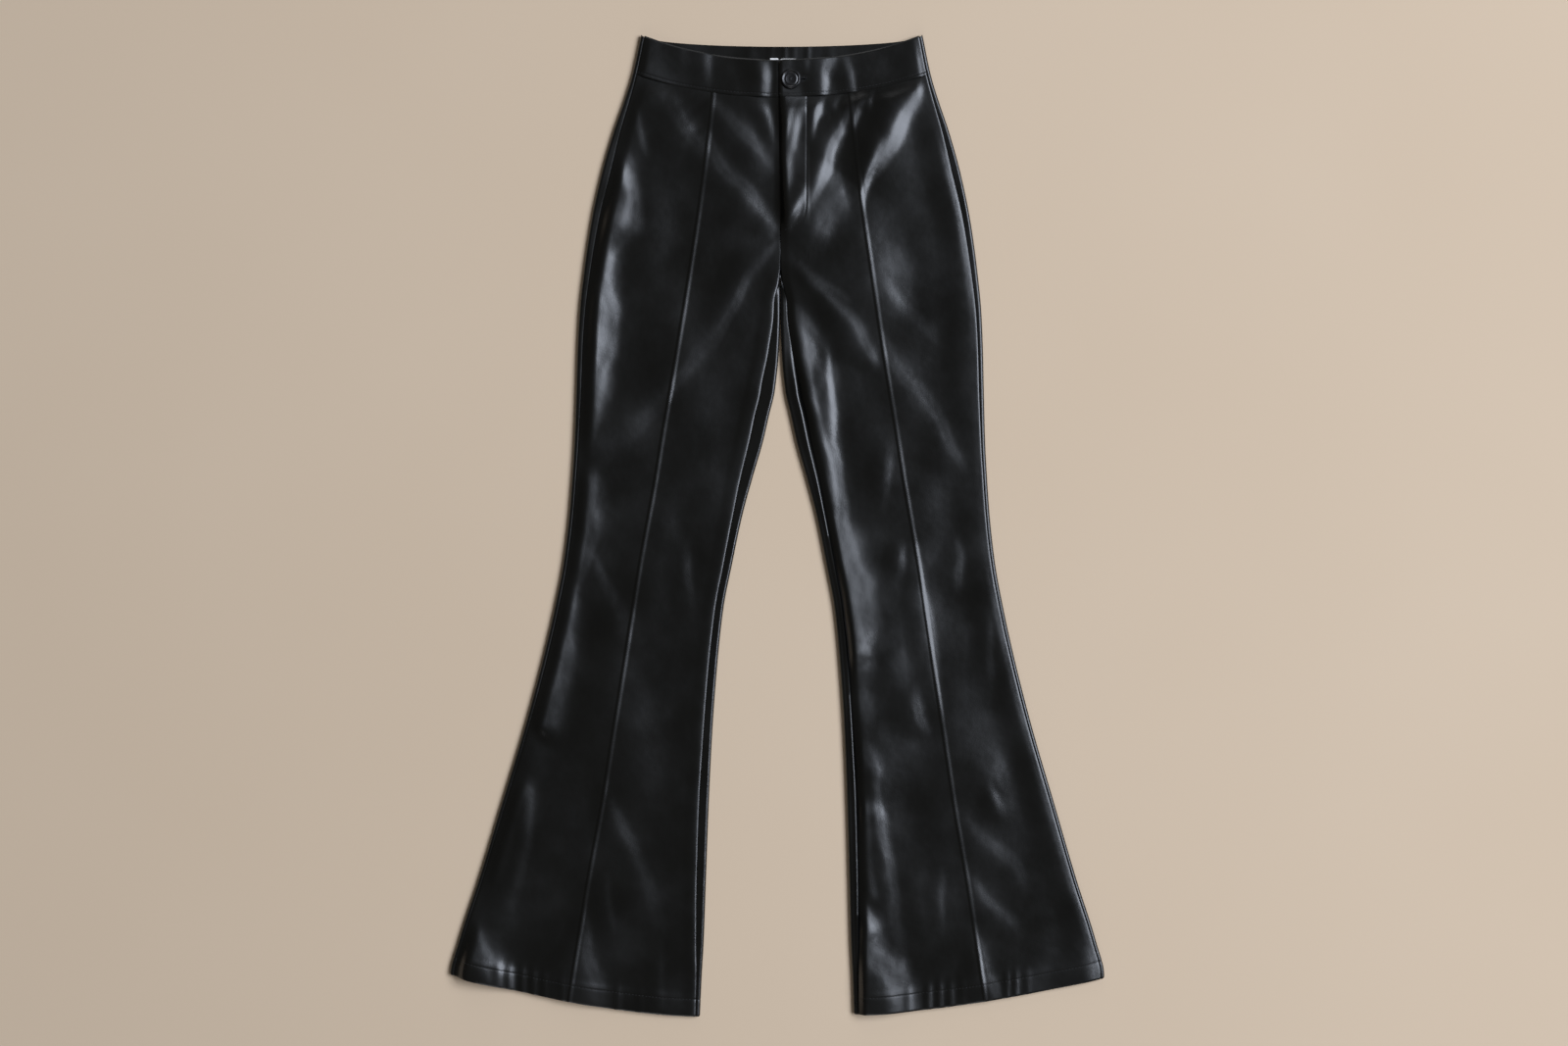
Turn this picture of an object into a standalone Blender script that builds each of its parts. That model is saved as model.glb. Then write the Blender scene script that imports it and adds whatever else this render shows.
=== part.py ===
"""Faux leather trousers with flared legs, laid flat on the floor with the front up.

Metres, +Z up, +Y towards the waist and +X towards the wearer's left. The origin is on the
floor, under the middle of the part. In the functions, lengths are in millimetres: "down" runs
from the top corners of the waistband towards the hems, and "out" from the middle line towards
the side of the leg in hand. The back panels lie on the floor and roll up and over at their
edges, and the front panels lie on them between the seams.
"""

import math
from collections import namedtuple

import bmesh
import bpy

MM = 0.001

# Cloth
WALL = 1.2  # bonded leathercloth, one layer with its backing
GAP = 0.3  # between two pieces at a seam
ROLL_ARC = 9.7  # length of cloth in the roll at a leg's edge, which makes it about 6 mm high
SIDE_TURN = math.pi + 0.06  # how far the back panel turns over at the side
INSEAM_TURN = math.pi + 0.10
FULL_TURN = 290.0  # the inner roll begins at the crotch and is whole from here down
TURN_UP = 20.0  # depth of the doubled hem
FRONT_LOW = 3.2  # height of the front's outer face where it lies on the back
FRONT_HIGH = 6.2  # the most that a fold lifts it
HEM_LOW = 5.3  # the same over the doubled back hem

# Whole garment
LENGTH = 1060.0
LEAN = 5.0  # the waist lies this far to the wearer's left of the hems
SIDE_CORNER = 1016.0  # down to the outer corners of the hems
BAND = 42.4  # depth of the waistband at the side
FRONT_DIP = 25.5  # how far the front waist seam hangs below its ends
FRONT_TOP_DIP = 27.5
BACK_DIP = 12.0
BACK_TOP_DIP = 12.5
DIP_FADE = 180.0  # the rows of the panels are straight again from here down
HEM_FADE = 760.0  # the rows start to follow the hem's slant here

# Front opening
FLY_END = 214.0  # lower end of the slit
LAP = 4.5  # the wearer's left front laps this far past the middle at the waist
UNDERLAP = 15.0  # how far the right front runs on beneath it
BAND_UNDERLAP = 27.0
FLY_FACE = 27.0  # width of the flat, doubled stretch beside the slit
CROTCH = 240.0
LEGS_PART = 385.0

# Heights of the layers at the front opening
LAP_TOP = 5.9
UNDER_TOP = 4.2
CROTCH_TOP = 5.6
BAND_LAP_TOP = 6.8
BAND_UNDER_TOP = 5.3
BAND_LOW = 4.4
BAND_STEP = (45.0, 66.0)  # the waistband comes down to the panels between these depths
UNDER_FLAT = 16.0
BAND_SLOPE = 40.0
LAP_CORNER = 7.0

# How the front comes down from its seams
SIDE_SLOPE = 42.0
INNER_SLOPE = 36.0
LIP_HEIGHT = 1.3  # the front's edge stands up over the wide back margin under the crotch
LIP_HALF = 9.0
LIP_DOWN = (290.0, 330.0, 430.0, 520.0)  # it grows, stays and dies away

# Pin-tuck down the front of each leg
TUCK_HEIGHT = 2.3
TUCK_HALF = 3.2

# Small pieces: button, its hole, label and zip
BUTTON_OUT, BUTTON_DOWN = 10.0, 48.8
BUTTON_RADIUS = 10.8
BUTTON_THICK = 2.4
BUTTON_RIM = 1.2
BUTTON_DISH = 0.9
BUTTON_ROUND = 0.7
STEM_RADIUS = 1.5
HOLE_LENGTH, HOLE_WIDTH = 24.0, 4.0
HOLE_OUT = 14.0
LABEL_WIDTH, LABEL_DEPTH, LABEL_OUT, LABEL_TOP = 28.0, 20.0, 1.6, 25.0
FACING_WALL = 1.0
ZIP_WIDTH, ZIP_TOP, ZIP_END = 24.0, 74.0, 203.0

# Sections across one leg, in millimetres from the middle line: the side outline, the depth of
# the back panel that shows past the side seam, the pin-tuck, the inner outline, and the depth
# of the back panel that shows past the inseam.
Section = namedtuple("Section", "down side side_margin tuck inside inseam_margin")
SECTIONS = (
    Section(0, 152.0, 4.0, 70.0, 0.15, 6.0),
    Section(44, 161.4, 4.4, 72.5, 0.15, 6.0),
    Section(70, 169.3, 5.3, 74.5, 0.15, 6.0),
    Section(105, 181.3, 7.2, 78.0, 0.15, 6.0),
    Section(150, 194.0, 9.0, 83.2, 0.15, 6.0),
    Section(200, 204.6, 7.8, 89.9, 0.15, 6.0),
    Section(260, 213.1, 6.6, 98.7, 0.15, 6.0),
    Section(300, 217.1, 5.8, 104.8, 0.15, 6.8),
    Section(340, 219.0, 5.3, 111.1, 0.15, 12.6),
    Section(385, 220.2, 5.1, 118.4, 0.6, 21.6),
    Section(410, 220.9, 4.7, 122.8, 9.2, 19.8),
    Section(440, 221.9, 4.3, 127.8, 17.8, 16.6),
    Section(480, 224.2, 4.0, 134.0, 29.6, 12.6),
    Section(520, 227.2, 4.0, 141.0, 40.2, 9.8),
    Section(570, 233.1, 4.0, 149.9, 50.5, 8.9),
    Section(620, 242.5, 4.0, 157.6, 60.0, 8.6),
    Section(680, 256.2, 4.0, 166.7, 66.2, 8.9),
    Section(750, 274.6, 4.0, 177.6, 71.1, 9.2),
    Section(830, 298.4, 4.0, 189.8, 74.7, 10.2),
    Section(910, 322.2, 4.0, 204.0, 77.3, 9.8),
    Section(980, 344.6, 4.0, 215.0, 79.5, 7.9),
    Section(1016, 353.4, 4.0, 220.4, 81.4, 5.4),
    Section(1060, 353.4, 4.0, 226.6, 83.2, 4.4),
)

# The two hems: the height of the inner corner, and how far the hem rises to the side
Hem = namedtuple("Hem", "inner_down rise")
HEMS = {"left": Hem(1057.5, 39.0), "right": Hem(1060.0, 45.6)}
HEM_BOW = 1.6  # 1 would be a straight slant

# The largest folds of each front, from one end to the other
Fold = namedtuple("Fold", "out_from down_from out_to down_to half_width height")
FOLDS = {
    "left": (
        Fold(151, 78, 93, 179, 16, 1.6),
        Fold(71, 80, 31, 179, 14, 1.2),
        Fold(32, 272, 58, 428, 16, 1.9),
        Fold(58, 410, 72, 590, 18, 1.9),
        Fold(72, 570, 104, 760, 20, 1.7),
        Fold(104, 740, 106, 1010, 22, 1.6),
        Fold(8, 246, 105, 359, 15, 1.7),
        Fold(203, 853, 262, 958, 20, 1.4),
    ),
    "right": (
        Fold(162, 90, 185, 260, 16, 1.6),
        Fold(186, 240, 202, 445, 18, 1.8),
        Fold(8, 243, 113, 386, 15, 1.8),
        Fold(113, 386, 197, 460, 18, 1.5),
        Fold(66, 74, 10, 190, 14, 1.1),
        Fold(230, 600, 246, 790, 20, 1.5),
        Fold(272, 790, 312, 1000, 22, 1.7),
        Fold(184, 822, 136, 920, 18, 1.3),
    ),
}

# Rows of points down the panels: the marks that a row must meet, and the widest step above each
RowMark = namedtuple("RowMark", "down widest_step")
ROW_MARKS = (
    RowMark(180.0, 28.0),
    RowMark(FLY_END, 12.0),
    RowMark(CROTCH, 13.0),
    RowMark(294.0, 11.0),
    RowMark(LEGS_PART, 24.0),
    RowMark(540.0, 32.0),
    RowMark(LENGTH - TURN_UP - 4.0, 50.0),
    RowMark(LENGTH - TURN_UP, 5.0),
    RowMark(LENGTH, 10.0),
)

ARC_STEPS = 5
STRAIGHT_STEPS = 2
FLAT_STEPS = 6
PANEL_STEPS = 8  # columns between a front's edge and its pin-tuck
TUCK_STEPS = 4
BAND_STEPS = 18
BAND_ROWS = 5
SETTLE = 3  # rounds in which a waistband point's distance out and down come to agree
FACING_ENDS = 5.0  # the facing stops this far inside the outline, where the band rolls up
FACING_DEPTHS = (0.02, 0.95)
SIGN = {"left": 1.0, "right": -1.0}

# Colours are linear
LEATHER_COLOUR = (0.006, 0.0065, 0.0075)
BUTTON_COLOUR = (0.010, 0.010, 0.011)
LABEL_COLOUR = (0.72, 0.72, 0.70)
TAPE_COLOUR = (0.012, 0.012, 0.013)


# ---------------------------------------------------------------- outline and rows


def ease(value, start, end):
    """A smooth climb from 0 at start to 1 at end."""
    share = min(max((value - start) / (end - start), 0.0), 1.0)
    return share * share * (3.0 - 2.0 * share)


def section(name, down):
    """One column of the section table, read smoothly between its rows."""
    downs = [row.down for row in SECTIONS]
    values = [getattr(row, name) for row in SECTIONS]
    last = len(downs) - 1
    if down <= downs[0]:
        return values[0]
    if down >= downs[last]:
        return values[last]
    at = max(i for i in range(last) if downs[i] <= down)
    step = downs[at + 1] - downs[at]
    slope = [(values[i + 1] - values[i]) / (downs[i + 1] - downs[i]) for i in range(last)]

    def tangent(i):
        if i in (0, last):
            return slope[min(i, last - 1)]
        if slope[i - 1] * slope[i] <= 0.0:
            return 0.0
        return 2.0 * slope[i - 1] * slope[i] / (slope[i - 1] + slope[i])

    t = (down - downs[at]) / step
    start, end = tangent(at) * step, tangent(at + 1) * step
    rise = values[at + 1] - values[at]
    bend = start + end - 2.0 * rise
    return values[at] + t * (start + t * (3.0 * rise - 2.0 * start - end + t * bend))


def rows():
    """The rows of points down a panel, from the waist seam to the hem."""
    found = [BAND]
    for mark in ROW_MARKS:
        start = found[-1]
        steps = math.ceil((mark.down - start) / mark.widest_step)
        found += [start + (mark.down - start) * (i + 1) / steps for i in range(steps)]
    return found


def row_down(leg, row, out, dip):
    """Where a row of the panel lies at one distance out: it follows the waist and the hem."""
    side, inside = section("side", row), section("inside", row)
    share = min(abs(out) / side, 1.0)
    across = min(max((out - inside) / (side - inside), 0.0), 1.0)
    waist = dip * (1.0 - share**2) * (1.0 - ease(row, BAND, DIP_FADE))
    hem = HEMS[leg].inner_down - LENGTH - HEMS[leg].rise * across**HEM_BOW
    return row + waist + hem * ease(row, HEM_FADE, LENGTH - TURN_UP)


def place(leg, out, down, up):
    """A point in the part's frame, in metres."""
    lean = LEAN * (1.0 - down / SIDE_CORNER)
    return (SIGN[leg] * out + lean) * MM, (LENGTH / 2.0 - down) * MM, up * MM


# ---------------------------------------------------------------- rolled edges of the back


def wrapped(arc, turn, straight):
    """An edge rolled up off the floor: (towards the edge, up) from where it leaves the floor."""
    radius = arc / max(turn, 0.001)
    points = []
    for step in range(1, ARC_STEPS + 1):
        turned = turn * step / ARC_STEPS
        points.append((radius * math.sin(turned), radius * (1.0 - math.cos(turned))))
    end, top = points[-1]
    for step in range(1, STRAIGHT_STEPS + 1):
        along = straight * step / STRAIGHT_STEPS
        points.append((end + along * math.cos(turn), top + along * math.sin(turn)))
    return points


def reach_of(points):
    """How far the roll stands out past the point where it leaves the floor."""
    return max(point[0] for point in points)


def side_roll(down):
    radius = ROLL_ARC / SIDE_TURN
    straight = section("side_margin", down) - radius
    return wrapped(ROLL_ARC, SIDE_TURN, straight)


def inseam_share(down):
    """How far the back's inner edge is turned over: not at all above the crotch."""
    return ease(down, CROTCH, FULL_TURN)


def inseam_roll(down):
    """The inner roll, tighter and with a shorter end where it begins at the crotch."""
    share = inseam_share(down)
    arc = ROLL_ARC * (0.35 + 0.65 * share)
    straight = section("inseam_margin", down) - ROLL_ARC / INSEAM_TURN
    return wrapped(arc, max(INSEAM_TURN * share, 0.001), straight * (0.25 + 0.75 * share**4))


def back_section(down):
    """(out, up) across a back panel, from its edge at the side seam to its inner edge."""
    side, inside = section("side", down), section("inside", down)
    outer, inner = side_roll(down), inseam_roll(down)
    flat_out, flat_in = side - reach_of(outer), inside + reach_of(inner)
    points = [(flat_out + point[0], point[1]) for point in reversed(outer)]
    for step in range(FLAT_STEPS + 1):
        points.append((flat_out + (flat_in - flat_out) * step / FLAT_STEPS, 0.0))
    points += [(flat_in - point[0], point[1]) for point in inner]
    return points


# ---------------------------------------------------------------- front panels


def side_edge(down):
    """The front's edge at the side seam, and the height of the seam there."""
    outer = side_roll(down)
    end, top = outer[-1]
    return section("side", down) - reach_of(outer) + end - GAP, top


def inner_edge(leg, down):
    """The front's inner edge: at the slit, then at the middle seam, then at the inseam."""
    if down < FLY_END:
        if leg == "left":
            return GAP / 2.0 - LAP * (1.0 - down / FLY_END)
        return GAP / 2.0 - UNDERLAP * (1.0 - ease(down, FLY_END - 30.0, FLY_END - 2.0))
    if down <= CROTCH:
        return GAP / 2.0
    inner = inseam_roll(down)
    share = inseam_share(down)
    turn = min(INSEAM_TURN * share, math.pi)
    seam = reach_of(inner) - inner[-1][0] + WALL * math.sin(turn)
    clear = GAP * (1.0 + 6.0 * share * (1.0 - share))
    return section("inside", down) + max(seam, WALL if turn > math.pi / 2.0 else 0.0) + clear


def inner_height(leg, down):
    """Height of the front's outer face at its inner edge, and how wide it stays so."""
    if down <= CROTCH:
        open_top = LAP_TOP if leg == "left" else UNDER_TOP
        wide = FLY_FACE if leg == "left" else UNDERLAP + ZIP_WIDTH / 2.0 + 1.0
        closing = ease(down, FLY_END, CROTCH)
        return open_top + (CROTCH_TOP - open_top) * closing, wide * (1.0 - closing)
    seam_top = inseam_roll(down)[-1][1]
    return CROTCH_TOP + (seam_top - CROTCH_TOP) * ease(down, FULL_TURN - 18.0, FULL_TURN), 0.0


def falling(distance, width):
    """1 at the edge, falling smoothly to 0 at the width."""
    return 1.0 - ease(distance, 0.0, width)


def fold_height(leg, out, down):
    """What the large folds add to the front at one place."""
    total = 0.0
    for fold in FOLDS[leg]:
        run = (fold.out_to - fold.out_from, fold.down_to - fold.down_from)
        from_end = (out - fold.out_from, down - fold.down_from)
        length = math.hypot(*run)
        along = (from_end[0] * run[0] + from_end[1] * run[1]) / length**2
        across = (from_end[0] * run[1] - from_end[1] * run[0]) / length
        if abs(across) < fold.half_width:
            rounded = (1.0 - (across / fold.half_width) ** 2) ** 2
            total += fold.height * rounded * end_taper(along)
    return total


def end_taper(along):
    """A fold dies away over a quarter of its length, and a little past each end."""
    return ease(along, -0.08, 0.25) * (1.0 - ease(along, 0.75, 1.08))


def front_height(leg, row, out, down):
    """Height of the front's outer face."""
    edge, edge_top = side_edge(down)
    inner = inner_edge(leg, down)
    inner_top, flat = inner_height(leg, down)
    low = FRONT_LOW + (HEM_LOW - FRONT_LOW) * ease(row, LENGTH - TURN_UP - 30.0, LENGTH - TURN_UP)
    up = low + fold_height(leg, out, down)
    lip = LIP_HEIGHT * ease(down, *LIP_DOWN[:2]) * (1.0 - ease(down, *LIP_DOWN[2:]))
    up += lip * falling(abs(out - inner - LIP_HALF), LIP_HALF)
    up += (edge_top - up) * falling(edge - out, SIDE_SLOPE)
    up += (inner_top - up) * falling(out - inner - flat, INNER_SLOPE)
    up = min(up, FRONT_HIGH)
    tuck = section("tuck", down)
    return up + TUCK_HEIGHT * falling(abs(out - tuck), TUCK_HALF)


def eased_steps(start, end, steps):
    """Places from start to end, closer together at both ends."""
    return [
        start + (end - start) * (1.0 - math.cos(math.pi * i / steps)) / 2.0
        for i in range(steps + 1)
    ]


def front_columns(leg, down):
    """Distances out of the columns of points across a front panel."""
    edge = side_edge(down)[0]
    tuck = section("tuck", down)
    outer = eased_steps(edge, tuck + TUCK_HALF, PANEL_STEPS)
    inner = eased_steps(tuck - TUCK_HALF, inner_edge(leg, down), PANEL_STEPS)
    middle = [
        tuck + TUCK_HALF - 2.0 * TUCK_HALF * i / TUCK_STEPS for i in range(1, TUCK_STEPS)
    ]
    return outer + middle + inner


# ---------------------------------------------------------------- waistband


def band_down(share, out, depth, top_dip, seam_dip, leg):
    """Down at one place of the waistband: depth 0 is its top edge and 1 its seam."""
    level = 1.0 - min(abs(share), 1.0) ** 2
    top = top_dip * level
    seam = BAND - GAP + seam_dip * level
    if leg == "left":
        top += corner_drop(out + LAP)
    return top + (seam - top) * depth


def corner_drop(from_edge):
    """The rounded top corner of the lapped end."""
    if from_edge >= LAP_CORNER:
        return 0.0
    return LAP_CORNER - math.sqrt(max(LAP_CORNER**2 - (LAP_CORNER - from_edge) ** 2, 0.0))


def band_height(leg, out, down):
    """Height of the front waistband's outer face."""
    edge, edge_top = side_edge(down)
    above = 1.0 - ease(down, *BAND_STEP)
    if leg == "left":
        inner_top, flat = LAP_TOP + (BAND_LAP_TOP - LAP_TOP) * above, FLY_FACE
    else:
        inner_top, flat = UNDER_TOP + (BAND_UNDER_TOP - UNDER_TOP) * above, UNDER_FLAT
    up = BAND_LOW + (edge_top - BAND_LOW) * falling(edge - out, SIDE_SLOPE)
    return up + (inner_top - up) * falling(out - flat, BAND_SLOPE)


def front_band_columns(leg, down):
    """From the side seam to the lapped edge, or to the end of the part that lies beneath it."""
    end = inner_edge("left", down) if leg == "left" else -BAND_UNDERLAP
    return eased_steps(side_edge(down)[0], end, BAND_STEPS)


# ---------------------------------------------------------------- building


def plain_material(name, colour, roughness, metallic=0.0):
    material = bpy.data.materials.new(name)
    material.use_nodes = True
    shader = material.node_tree.nodes["Principled BSDF"]
    shader.inputs["Base Color"].default_value = (*colour, 1.0)
    shader.inputs["Roughness"].default_value = roughness
    shader.inputs["Metallic"].default_value = metallic
    material.diffuse_color = (*colour, 1.0)
    return material


def leather_material():
    return plain_material("black faux leather", LEATHER_COLOUR, 0.42)


def button_material():
    return plain_material("black cast resin", BUTTON_COLOUR, 0.25)


def label_material():
    return plain_material("white woven tape", LABEL_COLOUR, 0.85)


def tape_material():
    return plain_material("black woven zip tape", TAPE_COLOUR, 0.7)


def new_object(name, mesh, material, collection):
    made = bpy.data.objects.new(name, mesh)
    mesh.materials.append(material)
    collection.objects.link(made)
    return made


def sheet(name, points, faces_up, wall, material, collection, doubled_rows=0):
    """A cloth wall on a grid of points, which are its outer face; the last rows may be doubled."""
    row_count, column_count = len(points), len(points[0])
    shape = bmesh.new()
    bmesh.ops.create_grid(
        shape, x_segments=column_count - 1, y_segments=row_count - 1, size=1.0
    )
    group = shape.verts.layers.deform.verify()
    for vert in shape.verts:
        column = round((vert.co.x + 1.0) / 2.0 * (column_count - 1))
        row = round((vert.co.y + 1.0) / 2.0 * (row_count - 1))
        vert.co = points[row][column]
        vert[group][0] = 1.0 if row >= row_count - doubled_rows else 0.5
    shape.normal_update()
    area_up = sum(face.normal.z * face.calc_area() for face in shape.faces)
    if (area_up > 0.0) != faces_up:
        bmesh.ops.reverse_faces(shape, faces=shape.faces)
    mesh = bpy.data.meshes.new(name)
    shape.to_mesh(mesh)
    shape.free()
    mesh.shade_smooth()
    made = new_object(name, mesh, material, collection)
    made.vertex_groups.new(name="wall")
    solid = made.modifiers.new("wall", "SOLIDIFY")
    solid.thickness = 2.0 * wall * MM
    solid.offset = -1.0
    solid.use_even_offset = True
    solid.vertex_group = "wall"
    return made


def panel_points(leg, dip, section_at):
    """Rows of points down a panel, from a section given as a function of down and row."""
    found = []
    for row in rows():
        nominal = section_at(row, row)
        line = []
        for column, (out, _) in enumerate(nominal):
            down = row_down(leg, row, out, dip)
            out, up = section_at(down, row)[column]
            line.append(place(leg, out, down, up))
        found.append(line)
    return found


def front_panel(leg, material, collection):
    def section_at(down, row):
        return [
            (out, front_height(leg, row, out, down)) for out in front_columns(leg, down)
        ]

    points = panel_points(leg, FRONT_DIP, section_at)
    return sheet(f"front_{leg}", points, True, WALL, material, collection, doubled_rows=3)


def back_panel(leg, material, collection):
    points = panel_points(leg, BACK_DIP, lambda down, row: back_section(down))
    return sheet(f"back_{leg}", points, False, WALL, material, collection, doubled_rows=3)


def front_band(leg, material, collection):
    points = []
    for row in range(BAND_ROWS + 1):
        depth = row / BAND_ROWS
        line = []
        for column in range(BAND_STEPS + 1):
            down = BAND * depth
            for _ in range(SETTLE):
                out = front_band_columns(leg, down)[column]
                share = out / section("side", down)
                down = band_down(share, out, depth, FRONT_TOP_DIP, FRONT_DIP, leg)
            line.append(place(leg, out, down, band_height(leg, out, down)))
        points.append(line)
    return sheet(f"waistband_front_{leg}", points, True, WALL, material, collection)


def back_band_section(down):
    """(signed out, up) across the whole back waistband, from one side seam to the other."""
    roll = back_section(down)[: ARC_STEPS + STRAIGHT_STEPS]
    flat = section("side", down) - reach_of(side_roll(down))
    middle = [(flat * (1.0 - 2.0 * i / BAND_STEPS), 0.0) for i in range(BAND_STEPS + 1)]
    return roll + middle + [(-out, up) for out, up in reversed(roll)]


def back_band(material, collection):
    points = []
    for row in range(BAND_ROWS + 1):
        depth = row / BAND_ROWS
        line = []
        for column in range(len(back_band_section(0.0))):
            down = BAND * depth
            for _ in range(SETTLE):
                out, up = back_band_section(down)[column]
                share = min(abs(out) / section("side", down), 1.0)
                down = back_band_down(share, depth)
            line.append(place("left", out, down, up))
        points.append(line)
    return sheet("waistband_back", points, False, WALL, material, collection)


def back_band_down(share, depth):
    level = 1.0 - share**2
    top = BACK_TOP_DIP * math.sqrt(level)
    seam = BAND - GAP + BACK_DIP * level
    return top + (seam - top) * depth


def facing(material, collection):
    """The inside of the back waistband, which shows above the front's dipped edge."""
    points = []
    for row in range(BAND_ROWS + 1):
        line = []
        for column in range(BAND_STEPS + 1):
            share = 1.0 - 2.0 * column / BAND_STEPS
            depth = FACING_DEPTHS[0] + (FACING_DEPTHS[1] - FACING_DEPTHS[0]) * row / BAND_ROWS
            down = back_band_down(abs(share), depth)
            out = share * (section("side", down) - FACING_ENDS)
            line.append(place("left", out, down, WALL + GAP + FACING_WALL))
        points.append(line)
    return sheet("waistband_facing", points, True, FACING_WALL, material, collection)


def box(name, out, down, up, size, material, collection):
    """A flat piece with its lower face at the given height."""
    shape = bmesh.new()
    bmesh.ops.create_cube(shape, size=1.0)
    bmesh.ops.scale(shape, vec=[side * MM for side in size], verts=shape.verts)
    mesh = bpy.data.meshes.new(name)
    shape.to_mesh(mesh)
    shape.free()
    made = new_object(name, mesh, material, collection)
    made.location = place("left", out, down, up + size[2] / 2.0)
    return made


def label(material, collection):
    up = WALL + GAP + FACING_WALL + GAP
    down = LABEL_TOP + LABEL_DEPTH / 2.0
    size = (LABEL_WIDTH, LABEL_DEPTH, FACING_WALL)
    return box("label", LABEL_OUT, down, up, size, material, collection)


def zip_strip(material, collection):
    """The closed zip beneath the slit, plain because it is hidden."""
    down = (ZIP_TOP + ZIP_END) / 2.0
    size = (ZIP_WIDTH, ZIP_END - ZIP_TOP, WALL)
    return box("fly_zip", 0.0, down, WALL + GAP, size, material, collection)


def button(material, collection):
    """A turned button: a dished disc with a raised rim, on the stem of thread that holds it."""
    seat = band_height("left", BUTTON_OUT, BUTTON_DOWN) + GAP
    foot = BAND_UNDER_TOP + GAP
    dish = BUTTON_RADIUS - BUTTON_RIM - BUTTON_ROUND - BUTTON_DISH
    top = seat + BUTTON_THICK
    profile = (
        (0.0, top - BUTTON_DISH),
        (dish, top - BUTTON_DISH),
        (dish + BUTTON_DISH, top),
        (BUTTON_RADIUS - BUTTON_ROUND, top),
        (BUTTON_RADIUS, top - BUTTON_ROUND),
        (BUTTON_RADIUS, seat + BUTTON_ROUND),
        (BUTTON_RADIUS - BUTTON_ROUND, seat),
        (STEM_RADIUS, seat),
        (STEM_RADIUS, foot),
        (0.0, foot),
    )
    shape = bmesh.new()
    verts = [shape.verts.new((radius * MM, 0.0, up * MM)) for radius, up in profile]
    for first, second in zip(verts, verts[1:]):
        shape.edges.new((first, second))
    mesh = bpy.data.meshes.new("button")
    shape.to_mesh(mesh)
    shape.free()
    made = new_object("button", mesh, material, collection)
    made.location = place("left", BUTTON_OUT, BUTTON_DOWN, 0.0)
    turned = made.modifiers.new("turned", "SCREW")
    turned.steps = 32
    turned.render_steps = 32
    turned.use_merge_vertices = True
    turned.merge_threshold = 0.00005
    turned.use_smooth_shade = True
    return made


def buttonhole(band, cutters):
    """A slot through the lapped end of the waistband, round at both ends."""
    shape = bmesh.new()
    bmesh.ops.create_cube(shape, size=1.0)
    size = (HOLE_LENGTH, HOLE_WIDTH, 4.0 * BUTTON_THICK)
    bmesh.ops.scale(shape, vec=[side * MM for side in size], verts=shape.verts)
    upright = [edge for edge in shape.edges if abs(edge.verts[0].co.z - edge.verts[1].co.z) > MM]
    bmesh.ops.bevel(
        shape, geom=upright, offset=HOLE_WIDTH * 0.4 * MM, segments=3, affect="EDGES", profile=0.5
    )
    mesh = bpy.data.meshes.new("buttonhole")
    shape.to_mesh(mesh)
    shape.free()
    cutter = bpy.data.objects.new("buttonhole", mesh)
    cutters.objects.link(cutter)
    cutter.location = place("left", HOLE_OUT, BUTTON_DOWN, BAND_LAP_TOP)
    cutter.hide_render = True
    cutter.display_type = "WIRE"
    cut = band.modifiers.new("buttonhole", "BOOLEAN")
    cut.operation = "DIFFERENCE"
    cut.solver = "EXACT"
    cut.object = cutter


def clear_scene():
    for old in list(bpy.data.objects):
        bpy.data.objects.remove(old, do_unlink=True)


def new_collection(name):
    made = bpy.data.collections.new(name)
    bpy.context.scene.collection.children.link(made)
    return made


def build():
    clear_scene()
    trousers = new_collection("faux leather trousers")
    cutters = new_collection("cutters")
    leather = leather_material()
    for leg in SIGN:
        front_panel(leg, leather, trousers)
        back_panel(leg, leather, trousers)
    bands = {leg: front_band(leg, leather, trousers) for leg in SIGN}
    back_band(leather, trousers)
    facing(leather, trousers)
    label(label_material(), trousers)
    zip_strip(tape_material(), trousers)
    button(button_material(), trousers)
    buttonhole(bands["left"], cutters)


build()
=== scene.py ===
"""Faux leather trousers with flared legs, laid flat with the front up: the looks.

Lengths in the functions are in millimetres, as in the solids: "down" runs from the top corners
of the waistband to the hems, "out" from the middle line to the side of the leg in hand, and "up"
from the floor. Each panel is a thin closed shell on its solid's form. Its creases are placed one
by one, as soft slopes of their own width and height.
"""

import math
from collections import namedtuple

import bmesh
import bpy
import numpy as np
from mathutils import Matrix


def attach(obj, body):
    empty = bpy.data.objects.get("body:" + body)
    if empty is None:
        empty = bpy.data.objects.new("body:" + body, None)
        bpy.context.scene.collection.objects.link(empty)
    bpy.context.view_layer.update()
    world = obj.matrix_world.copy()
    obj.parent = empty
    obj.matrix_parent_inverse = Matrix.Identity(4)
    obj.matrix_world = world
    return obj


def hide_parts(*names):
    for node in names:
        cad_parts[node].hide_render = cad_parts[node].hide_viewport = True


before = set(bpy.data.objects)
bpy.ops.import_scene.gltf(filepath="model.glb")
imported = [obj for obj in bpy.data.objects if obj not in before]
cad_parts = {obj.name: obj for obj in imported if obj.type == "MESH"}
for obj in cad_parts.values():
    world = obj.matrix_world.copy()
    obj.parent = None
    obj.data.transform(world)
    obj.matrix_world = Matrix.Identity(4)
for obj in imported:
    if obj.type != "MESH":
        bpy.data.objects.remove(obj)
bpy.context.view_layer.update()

MM = 0.001

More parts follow.
